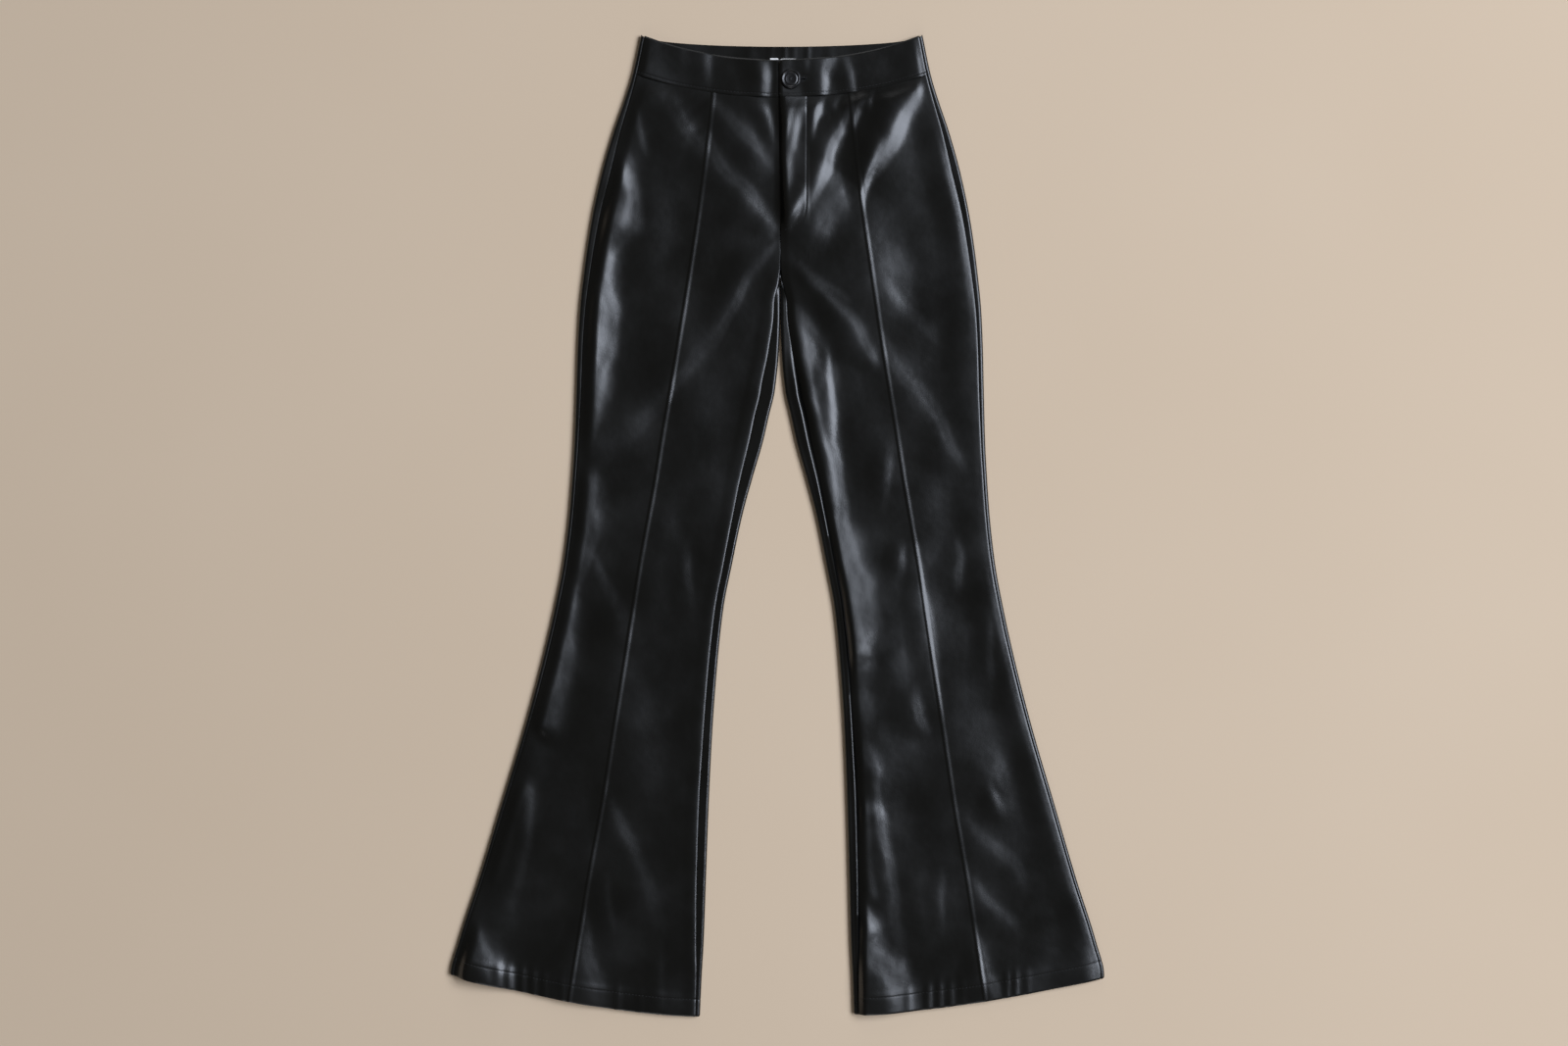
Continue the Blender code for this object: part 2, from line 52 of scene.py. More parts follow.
# Cloth
WALL = 1.1  # one layer of leathercloth
HEM_WALL = 2.2  # the doubled hem
GAP = 0.3  # between two pieces at a seam
ROLL_ARC = 9.7  # cloth in the roll where the back turns over onto the front
SIDE_TURN = math.pi + 0.06
INSEAM_TURN = math.pi + 0.10
FULL_TURN = 290.0  # the inner roll begins at the crotch and is whole from here down
ARC_LEAST, STRAIGHT_LEAST = 0.35, 0.25  # shares of that roll and its strip at the crotch
CLEAR_MORE = 6.0  # front and back stand further apart where the roll is half made
TURN_UP = 20.0  # depth of the hem
HEM_STEP = 6.0  # the front climbs onto the hem's turned-up edge over this much
WALL_STEP = 2.0  # the wall thickens to the hem's over this much
FRONT_LOW, FRONT_LEAST, HEM_LOW = 3.4, 2.85, 5.3  # heights of the front's outer face
LEAST_BLEND = 0.16  # how gently the cloth levels out there
HEM_CLIMB = (960.0, 1040.0)  # towards the hem, the front rises slowly between these
FAR = 99.0  # of points that are near no edge

# Whole garment: a dip is how far an edge hangs lower in the middle than at the sides
LENGTH = 1060.0
LEAN = 5.0
SIDE_CORNER = 1016.0
BAND = 42.4  # the waist seam
FRONT_DIP, FRONT_TOP_DIP = 25.5, 27.5
BACK_DIP, BACK_TOP_DIP = 12.0, 12.5
DIP_FADE, HEM_FADE = 180.0, 760.0  # between these the rows of points run straight across

# Front opening
FLY_END = 214.0
LAP = 4.5
UNDERLAP = 15.0
UNDERLAP_ENDS = (30.0, 2.0)  # it runs out between these, above the end of the fly
BAND_UNDERLAP = 27.0
FLY_FACE = 27.0
FLY_JOIN = 8.0  # above the end of the fly, both fronts begin to meet edge to edge
CROTCH = 240.0
CROTCH_SETTLES = 18.0  # the last stretch above FULL_TURN, where the front comes down
LAP_TOP, UNDER_TOP, CROTCH_TOP = 5.9, 4.2, 5.6  # heights of the outer face at the inner edge
BAND_LAP_TOP, BAND_UNDER_TOP, BAND_LOW = 6.8, 5.3, 4.4  # the same on the waistband
BAND_STEP = (45.0, 66.0)  # between these, the fly's height turns into the waistband's
UNDER_FLAT = 16.0
BAND_SLOPE = 40.0
BAND_DEPTH = 35.0  # turns a share of the depth into millimetres near the top edge
LAP_CORNER = 7.0
ZIP_WIDTH = 24.0

# How the front comes down from its seams. A change is (from, to, by how much), down the leg.
SIDE_SLOPE, INNER_SLOPE = 42.0, 36.0
LIP_HEIGHT, LIP_HALF = 1.3, 9.0
LIP_CHANGES = ((290.0, 330.0, 1.0), (430.0, 520.0, -1.0))

# Small pieces
BUTTON_OUT, BUTTON_DOWN = 10.0, 48.8
BUTTON_RADIUS = 10.8
BUTTON_THICK = 2.4
BUTTON_SEAT = 8.8  # its stem of thread holds it up off the lap
BUTTON_TURNS, BUTTON_SHARP_FROM = 72, math.radians(40.0)
STEM_RADIUS = 1.5
BUTTON_FACE = (  # (radius, below the top) from the middle out over the rim, and back beneath
    (0.0, 1.0), (2.6, 1.0), (5.0, 0.75), (6.1, 0.5), (6.7, 0.75), (7.3, 0.95), (7.9, 0.7),
    (8.6, 0.15), (9.2, 0.0), (9.6, 0.08), (9.9, 0.4), (10.5, 1.2), (BUTTON_RADIUS, 1.7),
    (10.6, 1.9), (9.8, 2.3), (8.6, BUTTON_THICK), (STEM_RADIUS, BUTTON_THICK),
)
EYE_RADIUS, EYE_APART, EYE_TURN = 0.9, 1.75, math.radians(38.0)  # the button's four holes
EYE_MIDDLE, EYE_DEPTH = 0.4, 2.2  # the cutter's middle below the button's top, and its length
STRAND_APART, STRAND_SUNK, STRAND_CROWN = 0.28, 0.3, 0.2  # of the thread in those holes
STRAND_BELOW = 0.85  # the button's top
HOLE_LENGTH, HOLE_WIDTH, HOLE_OUT = 24.0, 2.4, 14.0
HOLE_REACH, HOLE_ROUND = 9.0, 0.42  # the cutter's height, and its corners' share of the width
BAR_PITCH, BAR_LENGTH, BAR_INSIDE, BAR_LIFT, BARS_AT_END = 0.75, 1.5, 0.1, 0.12, 7
LABEL_WIDTH, LABEL_DEPTH, LABEL_OUT, LABEL_TOP = 28.0, 20.0, 1.6, 25.0
LABEL_FOLD, LABEL_BENDS, LABEL_COLUMNS, LABEL_LEAF, LABEL_LEAF_TOP = 0.5, 8, 15, 0.35, 0.4
LABEL_WAVE, LABEL_WAVE_RUN = 0.12, 3.1
LABEL_STILL = 0.3  # the lower leaf doesn't wave, nor its fold up to this height
LABEL_HANG, LABEL_SAG = 0.3, 2.2  # its fold sinks behind the waistband in the middle
LABEL_CHANGES = ((-4.5, -3.0, 1.0), (-2.0, 0.0, -0.75))
FACING_WALL = 1.0
FACING_LIE = WALL + GAP + 0.1 + FACING_WALL  # height of the inner waistband's upper face
FACING_ENDS = 5.0
FACING_DEPTHS = (0.02, 0.95)
FACING_EDGE_DROP, FACING_EDGE = 0.5, 1.5
SIGN = {"left": 1.0, "right": -1.0}

# Finish of edges, seams and pin-tucks
LAP_RISE, LAP_BEND, LAP_FALL = 4.2, 5.0, 27.0  # the lap's fold springs up, then slopes away
LAP_START, LAP_FADE = -0.8, 185.0  # across the fold, and down the fly
BAND_RISE, BAND_BEND, BAND_FALL = 2.2, 4.6, 22.0
BAND_LAP_START = -0.6
UNDER_TIP, UNDER_TIP_WIDE = 0.9, 5.0  # the part beneath tips up against the lap
UNDER_TIP_CLIMB, BAND_TIP_CLIMB = (-9.0, -1.0), (-7.0, -1.0)
SEAM_DROP, SEAM_ROUND = 0.3, 1.0  # cloth turns down into a seam
BACK_SEAM_DROP, WAIST_DROP = 0.12, 0.08
MIDDLE_SHALLOW = 0.65  # share of the drop that the seam below the fly doesn't have
SIDE_SWELL, SIDE_SWELL_WIDE = 1.2, 9.0  # the cloth swells beside a seam before it goes down
SIDE_SWELL_CHANGES = ((80.0, 150.0, 1.0), (220.0, 360.0, -0.75), (520.0, 640.0, 0.5))
INSEAM_SWELL, INSEAM_SWELL_WIDE = 0.5, 4.0
STRIP_HUMP, STRIP_CREST = 0.17, 0.78  # of the left inseam's turned-over strip
STRIP_STARTS = (330.0, 390.0)
EDGE_DROP, EDGE_ROUND = 0.6, 1.3  # a folded edge that lies free
TUCK_HEIGHT = {"left": 0.5, "right": 0.72}
TUCK_AT_WAIST, TUCK_GROWS = 0.6, (110.0, 260.0)
TUCK_LOW, TUCK_CREST, TUCK_FOOT = -2.4, -0.3, 4.4
TUCK_ZONE = 7.0
SWELL, SWELL_START = 1.8, {"left": 0.7, "right": 2.9}
DIMPLE, DIMPLE_REACH = 0.8, 17.0  # the thread pulls the lap down under the button
GROOVE_HALF = 1.5  # half the width of the cloth pulled down by a row of stitches
FLY_GROOVE, HEM_GROOVE, BAND_GROOVE = 0.25, 0.3, 0.25
HEM_STITCH = 18.5  # above the hem's edge
HEM_LINE_SIDE, HEM_LINE_INNER = 1030.0, 1040.0  # where the ends of the row are measured
HEM_LINE_ENDS, HEM_LINE_BACK, HEM_LINE_POINTS = (3.0, 6.0), (92.0, 338.0), 120
FLY_LINE_TOP, FLY_LINE_STEP = 69.0, 3.0
STITCH_SINK, BACK_STITCH_SINK = 0.05, 0.08  # the thread's middle, from the bottom of its groove
STITCH_PITCH, STITCH_LENGTH, THREAD_WIDTH = 3.6, 3.0, 0.5
BACK_THREAD_WIDTH = 0.4
HOLE_STITCH = (0.8, 1.0, 0.55)  # pitch, length and width round the buttonhole
BUTTON_STITCH = (0.6, 1.0, 0.5)
BAND_STITCH = 3.4  # above the waist seam
FLY_PATH = (
    (27.4, 58.0), (27.4, 186.0), (26.2, 194.0), (22.5, 201.0), (15.5, 206.5), (7.0, 210.5),
    (1.6, 212.5),
)

# Sections across one leg, in millimetres from the middle line: the side outline, the strip of the
# back that shows past the side seam, the pin-tuck, the inner outline, and the strip of the back
# that shows past the inseam
Section = namedtuple("Section", "down side side_margin tuck inside inseam_margin")
SECTIONS = (
    Section(0, 152.0, 4.0, 70.0, 0.15, 6.0),
    Section(44, 161.4, 4.4, 72.5, 0.15, 6.0),
    Section(70, 169.3, 5.3, 74.5, 0.15, 6.0),
    Section(105, 181.3, 7.2, 78.0, 0.15, 6.0),
    Section(150, 194.0, 9.0, 83.2, 0.15, 6.0),
    Section(200, 204.6, 7.8, 89.9, 0.15, 6.0),
    Section(260, 213.1, 6.6, 98.7, 0.15, 6.0),
    Section(300, 217.1, 5.8, 104.8, 0.15, 6.8),
    Section(340, 219.0, 5.3, 111.1, 1.4, 10.8),
    Section(385, 220.2, 5.1, 118.4, 5.6, 15.2),
    Section(410, 220.9, 4.7, 122.8, 11.4, 15.2),
    Section(440, 221.9, 4.3, 127.8, 18.2, 14.6),
    Section(480, 224.2, 4.0, 134.0, 29.6, 12.6),
    Section(520, 227.2, 4.0, 141.0, 40.2, 9.8),
    Section(570, 233.1, 4.0, 149.9, 50.5, 8.9),
    Section(620, 242.5, 4.0, 157.6, 60.0, 8.6),
    Section(680, 256.2, 4.0, 166.7, 66.2, 8.9),
    Section(750, 274.6, 4.0, 177.6, 71.1, 9.2),
    Section(830, 298.4, 4.0, 189.8, 74.7, 10.2),
    Section(910, 322.2, 4.0, 204.0, 77.3, 9.8),
    Section(980, 344.6, 4.0, 215.0, 79.5, 7.9),
    Section(1016, 353.4, 4.0, 220.4, 81.4, 5.4),
    Section(1060, 353.4, 4.0, 226.6, 83.2, 4.4),
)

Hem = namedtuple("Hem", "inner_down rise")
HEMS = {"left": Hem(1057.5, 39.0), "right": Hem(1060.0, 45.6)}
HEM_BOW = 1.6

# Creases. Each is a path down the middle of the slope that faces the light, as (out, down, width
# of that slope, height); from its crest the cloth sinks back more gently on the other side.
# All widths and heights are then multiplied by CREASE_WIDER and CREASE_HIGHER.
BACK_SHARE, BACK_LEAST = 1.7, 9.0  # width of that other side, as a share and at least
LIGHT_SIDE = math.radians(12.0)  # the slope that counts as facing the light
CREASE_WIDER, CREASE_HIGHER = 1.45, 1.5
CREASE_LEAST = 2.0  # no slope is narrower
SOFT_SHARE, SOFT_MORE = 0.3, 16.0  # part of a crease's height that spreads wider, and how much
RIPPLE, RIPPLE_PITCH = 0.01, 0.42  # fine ridges along a crease, as shares of its height and width
RIPPLE_ZONE, RIPPLE_TURN, RIPPLE_RUN = 0.8, 2.0, 21.0
WANDER = ((0.07, 19.0, 0.0), (0.03, 7.1, 1.0))  # waves of the path: (share of width, run, start)
CREASES = {
    "right": (
        ((122, 60, 20, 2), (108, 84, 20, 2.3), (95, 108, 16, 2.1), (85, 138, 9, 0)),
        ((78, 108, 8, 0.7), (66, 134, 15, 2.1), (46, 158, 17, 2.4), (28, 182, 16, 2.3),
         (11, 202, 11, 1.5), (2, 214, 6, 0)),
        ((70, 72, 8, 1), (52, 90, 13, 1.8), (35, 108, 16, 2), (18, 132, 14, 1.5), (8, 152, 8, 0)),
        ((19, 68, 8, 1.6), (12, 90, 7, 1.4), (6, 113, 6, 0.9), (3, 136, 4, 0)),
        ((158, 66, 6, 0.8), (153, 94, 7, 1.1), (148, 116, 7, 1.1), (144, 136, 6, 0)),
        ((178, 112, 8, 0), (175, 132, 11, 1.3), (168, 152, 11, 1.2), (163, 170, 8, 0)),
        ((164, 96, 14, 0.3), (162, 130, 19, 1.8), (162, 160, 16, 2.6), (163, 184, 22, 4.2),
         (167, 204, 29, 5.9), (175, 222, 27, 6.2), (183, 242, 23, 5.3), (187, 266, 24, 4.8),
         (188, 320, 25, 4.8), (190, 362, 25, 4.7), (197, 396, 21, 3.3), (204, 428, 12, 1.7),
         (209, 456, 7, 0)),
        ((197, 255, 5, 0), (197, 290, 6, 0.7), (198, 330, 6, 0.6), (199, 365, 5, 0)),
        ((202, 462, 14, 0), (200, 488, 24, 3), (202, 522, 26, 3.4), (211, 552, 20, 3),
         (218, 588, 17, 2.8), (223, 620, 17, 2.7), (228, 646, 19, 2.6), (233, 676, 22, 3),
         (238, 705, 27, 3.3), (242, 735, 32, 3.8), (245, 754, 29, 3.2), (252, 764, 20, 0)),
        ((281, 800, 9, 0), (282, 814, 11, 1.4), (284, 834, 11, 1.7), (291, 866, 11, 1.5),
         (299, 900, 10, 1.1), (301, 920, 8, 0)),
        ((266, 802, 10, 0), (266, 816, 12, 1.4), (266, 834, 11, 1.7), (269, 868, 10, 1.5),
         (278, 906, 10, 1.3), (285, 940, 10, 0.8), (288, 968, 8, 0)),
        ((332, 950, 10, 0.6), (323, 970, 22, 4.4), (312, 990, 31, 6.8), (305, 1012, 34, 6.8),
         (299, 1040, 34, 4)),
        ((205, 944, 5, 0.2), (203, 976, 11, 1.8), (200, 1004, 18, 2.8), (196, 1030, 20, 2.9),
         (193, 1052, 18, 2)),
        ((184, 812, 6, 0.3), (174, 838, 11, 1.3), (162, 862, 13, 1.6), (150, 895, 14, 1.6),
         (139, 922, 14, 1.3), (128, 952, 13, 0.6), (120, 982, 10, 0)),
        ((184, 896, 5, 0), (182, 925, 7, 0.8), (179, 950, 8, 0.8), (176, 976, 6, 0)),
        ((124, 980, 6, 0), (124, 1010, 7, 0.8), (124, 1048, 7, 0.6)),
        ((6, 228, 6, 0.4), (18, 243, 9, 1), (31, 259, 11, 1.3), (46, 284, 11, 1.6),
         (63, 311, 13, 1.8), (80, 340, 18, 1.8), (97, 362, 14, 1.6), (112, 378, 12, 1.6),
         (130, 396, 14, 1.8), (150, 417, 18, 2), (170, 438, 24, 2), (190, 456, 26, 1.5),
         (206, 470, 20, 0.3)),
        ((200, 558, 6, 0.2), (190, 582, 10, 1.1), (179, 606, 12, 1.2), (170, 632, 14, 1),
         (166, 664, 12, 0)),
        ((98, 540, 8, 0), (97, 575, 9, 1), (95, 602, 9, 0.8), (93, 642, 8, 0)),
        ((82, 212, 14, 0), (76, 238, 18, 0.9), (71, 264, 16, 0)),
        ((126, 150, 20, 0), (122, 215, 30, 0.9), (126, 290, 26, 0)),
        ((118, 500, 16, 0), (114, 530, 18, 0.8), (110, 562, 16, 0)),
        ((150, 690, 18, 0), (140, 760, 26, 1), (134, 830, 20, 0)),
        ((220, 780, 20, 0), (232, 850, 30, 1), (240, 930, 24, 0)),
    ),
    "left": (
        ((156, 46, 6, 1.2), (152, 58, 9, 1.9), (141, 82, 14, 3.2), (127, 103, 16, 3.8),
         (114, 125, 16, 3.8), (100, 147, 13, 3), (93, 163, 9, 2.1), (90, 180, 6, 1),
         (89, 196, 5, 0)),
        ((112, 112, 6, 0), (103, 130, 7, 1.1), (96, 150, 7, 1.1), (91, 172, 5, 0)),
        ((73, 79, 5, 0.8), (69, 97, 9, 2.3), (60, 118, 13, 2.7), (51, 138, 13, 2.7),
         (42, 160, 11, 2.3), (34, 178, 8, 1.3), (30, 194, 5, 0)),
        ((49, 62, 6, 1.2), (42, 80, 8, 2), (37, 98, 6, 1.4), (33, 120, 5, 0)),
        ((91, 60, 5, 1), (87, 76, 8, 2.2), (82, 92, 6, 1.6), (79, 106, 4, 0)),
        ((100, 58, 5, 1.4), (97, 72, 6, 1.6), (94, 86, 4, 0)),
        ((65, 62, 5, 1.2), (60, 74, 6, 1.2), (57, 86, 4, 0)),
        ((26, 66, 6, 0.6), (24, 82, 7, 1.1), (19, 100, 8, 1.2), (15, 118, 7, 0.8), (12, 132, 6, 0)),
        ((12, 72, 6, 0.4), (10, 88, 6, 0.9), (6, 108, 6, 1), (1, 124, 5, 0.5)),
        ((26, 172, 6, 0.8), (20, 187, 7, 1.9), (13, 201, 7, 2.2), (8, 212, 5, 0.8)),
        ((10, 128, 7, 0.2), (8, 146, 10, 0.9), (7, 164, 9, 0.7), (6, 184, 7, 0)),
        ((84, 166, 16, 0), (72, 181, 24, 2.4), (58, 198, 28, 3.2), (44, 215, 28, 3),
         (30, 232, 24, 2), (16, 249, 14, 0)),
        ((96, 178, 24, 0), (112, 226, 40, 2.2), (120, 276, 40, 1.8), (126, 330, 28, 0)),
        ((4, 230, 6, 0.2), (20, 250, 8, 1), (38, 270, 9, 1.6), (56, 289, 10, 2), (74, 305, 12, 2),
         (90, 326, 13, 1.6), (101, 346, 10, 1.6), (106, 364, 6, 0)),
        ((14, 240, 5, 0), (40, 262, 7, 1.2), (60, 276, 7, 1), (80, 294, 6, 0)),
        ((111, 324, 8, 0.4), (122, 346, 13, 1), (135, 366, 16, 1.3), (155, 394, 18, 1.7),
         (176, 426, 16, 1.6), (192, 452, 12, 1.3), (203, 476, 8, 0)),
        ((113, 260, 6, 0), (124, 280, 12, 0.8), (142, 300, 14, 0.9), (160, 320, 14, 0.9),
         (175, 344, 10, 0)),
        ((12, 262, 10, 0.4), (20, 287, 22, 1.6), (27, 310, 27, 2.5), (34, 332, 29, 3.3),
         (42, 356, 29, 4.1), (49, 384, 28, 4.3), (54, 414, 22, 3.6), (57, 450, 17, 2.7),
         (61, 486, 16, 2.3), (68, 515, 20, 2.5), (75, 542, 27, 3.6), (80, 570, 29, 4),
         (84, 600, 32, 4), (91, 625, 34, 4), (98, 645, 32, 3.4), (106, 659, 26, 1.6),
         (112, 670, 14, 0)),
        ((52, 330, 5, 0), (54, 366, 6, 0.9), (58, 400, 6, 0.8), (61, 440, 5, 0)),
        ((97, 658, 14, 0.6), (94, 680, 20, 2.2), (92, 700, 19, 1.8), (94, 722, 18, 1.4),
         (96, 744, 14, 1), (96, 762, 10, 0)),
        ((94, 758, 10, 0.6), (101, 777, 17, 1.9), (108, 794, 12, 1.6), (106, 812, 10, 1.1),
         (104, 828, 8, 0)),
        ((90, 816, 8, 0.5), (98, 827, 14, 1.5), (108, 836, 12, 0.5)),
        ((108, 818, 9, 0.4), (112, 840, 12, 1.7), (116, 868, 13, 1.9), (121, 902, 13, 1.9),
         (126, 938, 13, 1.8), (132, 970, 14, 1.4), (138, 998, 12, 0.4)),
        ((95, 830, 6, 0.5), (98, 868, 8, 1.2), (99, 905, 8, 1.1), (103, 926, 9, 1.3),
         (107, 938, 7, 0)),
        ((94, 938, 8, 0.6), (105, 955, 16, 2), (116, 968, 12, 0.4)),
        ((96, 940, 8, 0.6), (103, 972, 20, 3.4), (112, 998, 34, 5.8), (122, 1022, 40, 6),
         (130, 1048, 38, 4.8)),
        ((118, 552, 30, 0), (128, 606, 44, 2.3), (138, 660, 46, 2.5), (146, 706, 36, 0)),
        ((120, 706, 26, 0), (132, 762, 40, 2), (140, 822, 40, 1.7), (146, 880, 30, 0)),
        ((134, 546, 6, 0), (134, 568, 8, 1.3), (132, 592, 8, 0)),
        ((120, 438, 8, 0), (119, 465, 9, 0.9), (116, 495, 8, 0.6), (108, 522, 6, 0)),
        ((150, 698, 8, 0), (152, 722, 12, 1.7), (158, 742, 12, 1.5), (165, 758, 6, 0)),
        ((179, 888, 6, 0), (178, 925, 7, 0.7), (178, 955, 6, 0.5), (178, 977, 6, 0)),
        ((150, 556, 7, 0.4), (157, 600, 9, 0.9), (163, 640, 10, 1.1), (169, 680, 10, 1),
         (175, 718, 10, 0.8), (180, 745, 8, 0)),
        ((188, 726, 14, 0.2), (200, 750, 28, 1.3), (216, 774, 34, 1.8), (233, 796, 32, 1.8),
         (248, 816, 20, 0.4)),
        ((191, 538, 6, 0), (197, 562, 9, 1.3), (196, 585, 11, 1.5), (193, 608, 8, 0)),
        ((228, 622, 6, 0), (229, 655, 8, 1), (229, 690, 9, 0.9), (232, 722, 8, 0)),
        ((205, 848, 8, 0.4), (220, 864, 12, 1), (238, 876, 14, 1.3), (253, 892, 14, 1.2),
         (263, 912, 10, 0.7), (268, 934, 8, 0)),
        ((214, 912, 7, 0.4), (224, 930, 10, 1.1), (240, 944, 12, 1.3), (255, 958, 12, 1.1),
         (264, 978, 8, 0)),
        ((228, 810, 6, 0.3), (238, 828, 9, 1), (246, 848, 8, 0)),
        ((217, 966, 6, 0.3), (223, 990, 9, 1.1), (229, 1012, 14, 1.8), (235, 1035, 14, 1.8),
         (239, 1052, 11, 0.9)),
        ((322, 972, 10, 0.2), (336, 992, 18, 0.8), (344, 1010, 16, 0.9)),
        ((120, 216, 20, 0), (134, 250, 26, 1), (150, 290, 22, 0)),
        ((60, 226, 20, 0), (74, 250, 28, 1.1), (92, 280, 22, 0)),
        ((166, 470, 18, 0), (172, 505, 24, 1.2), (176, 545, 18, 0)),
        ((128, 640, 16, 0), (136, 680, 22, 1), (140, 715, 16, 0)),
    ),
}

# The same for the waistband
BAND_CREASES = {
    "right": (
        ((78, 16, 8, 1.1), (78, 34, 9, 1.3), (78, 48, 8, 0.7), (76, 62, 6, 0)),
        ((21, 20, 12, 0.9), (15.5, 40, 10, 1.9), (15.5, 58, 10, 1.9), (16, 70, 8, 1.3)),
        ((138, 8, 16, 0.6), (132, 30, 24, 1.3), (120, 48, 24, 1.3), (112, 62, 16, 0.4)),
        ((46, 18, 14, 0), (42, 40, 16, 0.8), (40, 64, 14, 0.4)),
        ((102, 14, 12, 0.4), (100, 30, 12, 0.6), (98, 46, 10, 0)),
    ),
    "left": (
        ((60, 18, 8, 1.1), (53, 33, 14, 2), (49, 48, 10, 1.8), (48, 66, 8, 1.4)),
        ((69, 22, 8, 0.6), (75, 38, 9, 1.2), (78, 55, 7, 1), (80, 66, 5, 0.6)),
        ((28, 20, 5, 0.6), (28, 34, 6, 1), (27, 46, 5, 0)),
        ((150, 4, 6, 0.3), (152, 24, 10, 0.8), (154, 44, 10, 1), (150, 60, 10, 1)),
        ((110, 14, 18, 0), (104, 36, 22, 0.7), (100, 60, 18, 0.3)),
    ),
}

# Gathers in the hems, where they were turned up: (out, width, height)
HEM_GATHERS = {
    "right": (
        (300, 8, 0.8), (289, 6, 1.0), (275, 5, 1.2), (263, 5, 1.1),
        (251, 4, 0.8), (172, 5, 0.8), (232, 5, 0.5), (148, 5, 0.4),
    ),
    "left": (
        (163, 6, 1.2), (175, 5, 1.1), (187, 5, 0.9), (200, 5, 0.5),
        (248, 5, 1.0), (257, 5, 0.9), (270, 6, 0.5), (142, 6, 0.5),
    ),
}

# Gathers inside the back waistband
FACING_GATHERS = (
    (-12, 6, 0.3), (3, 4, 0.4), (13, 5, 0.25), (28, 5, 0.5), (-34, 9, 0.3), (52, 9, 0.3)
)
GATHER_MOST = 0.8  # they rise no further than this

# Troughs pressed into the underside: the same kind of path, with the height of the hollow
UNDER_CREASES = (
    ((30, 90, 16, 0), (62, 140, 20, 0.5), (96, 190, 18, 0)),
    ((20, 262, 14, 0.2), (70, 310, 20, 0.6), (128, 362, 22, 0.5), (186, 402, 18, 0)),
    ((150, 110, 16, 0), (138, 190, 22, 0.5), (150, 270, 18, 0)),
    ((70, 400, 14, 0), (104, 470, 20, 0.6), (112, 540, 22, 0.5), (130, 600, 16, 0)),
    ((190, 500, 12, 0), (184, 560, 18, 0.5), (196, 640, 14, 0)),
    ((110, 680, 16, 0), (134, 760, 26, 0.6), (150, 850, 24, 0.5), (150, 930, 18, 0)),
    ((230, 760, 14, 0), (240, 840, 24, 0.5), (268, 930, 18, 0)),
    ((300, 900, 14, 0), (306, 960, 22, 0.5), (300, 1010, 18, 0)),
)

# A crease fades in between these distances from an edge
FROM_SIDE, FROM_INNER, FROM_WAIST = (0.0, 15.0), (-2.0, 8.0), (-4.0, 16.0)
FROM_BAND_SIDE, FROM_BAND_END = (0.0, 8.0), (-8.0, 8.0)
GATHER_ROWS = (1022.0, 1045.0)
UNDER_FADE = 3.0  # how quickly the troughs beneath set in

SHARP_FROM = math.radians(48.0)  # an edge that turns further is shaded sharp

# Steps of the grids of points
ARC_STEPS = 11
MARGIN_STEPS = 8
FLAT_STEPS = 34
ROUND_STEPS = 4
SIDE_STEPS, TUCK_STEPS, INNER_STEPS, FLY_STEPS, FACE_STEPS = 42, 18, 34, 6, 12
FLY_ZONE = 2.5
BAND_COLUMNS = 84
BAND_ROWS = 20
BAND_EDGE_ROWS = (0.0, 0.015, 0.035, 0.06)  # shares of the waistband's depth
BAND_STITCH_ROWS = (0.86, 0.88, 0.895, 0.91, 0.925, 0.94)
BAND_SEAM_ROWS = (0.955, 0.975, 0.99, 1.0)
FACING_ROWS = 12
PANEL_ROWS, HEM_ROWS, BACK_ROWS = 306, 6, 236
EDGE_ROWS = (0.0, 0.6, 1.3, 2.2)  # close together where the cloth turns down
HEM_EDGE_ROWS = (2.4, 1.5, 0.7, 0.0)
STITCH_ROWS = (-2.0, -1.0, 0.0, 1.0, 2.0)
SETTLE = 3  # rounds in which the waistband's columns and depths settle
SMOOTH_STEPS = 5  # points put between two of a crease's own


# ---- outline and rows


def ease(value, start, end):
    """A smooth climb from 0 at start to 1 at end."""
    share = np.clip((value - start) / (end - start), 0.0, 1.0)
    return share * share * (3.0 - 2.0 * share)


def falling(distance, width):
    """1 at the edge, falling smoothly to 0 at the width."""
    return 1.0 - ease(distance, 0.0, width)


def bump(distance, half_width):
    """1 in the middle, falling smoothly to 0 at half a width on both sides."""
    return falling(np.abs(distance), half_width)


def changing(value, changes):
    """A share that starts at 0 and changes smoothly, each time by so much from start to end."""
    return sum(much * ease(value, start, end) for start, end, much in changes)


def section(name, down):
    """One column of the section table, read smoothly between its rows."""
    downs = np.array([float(row.down) for row in SECTIONS])
    values = np.array([getattr(row, name) for row in SECTIONS])
    steps = np.diff(downs)
    slopes = np.diff(values) / steps
    before, after = slopes[:-1], slopes[1:]
    same_way = before * after > 0.0
    middle = 2.0 * before * after / np.where(same_way, before + after, 1.0)
    tangents = np.concatenate([slopes[:1], np.where(same_way, middle, 0.0), slopes[-1:]])
    down = np.clip(down, downs[0], downs[-1])
    at = np.clip(np.searchsorted(downs, down, side="right") - 1, 0, len(steps) - 1)
    t = (down - downs[at]) / steps[at]
    start, end = tangents[at] * steps[at], tangents[at + 1] * steps[at]
    rise = values[at + 1] - values[at]
    bend = start + end - 2.0 * rise
    return values[at] + t * (start + t * (3.0 * rise - 2.0 * start - end + t * bend))


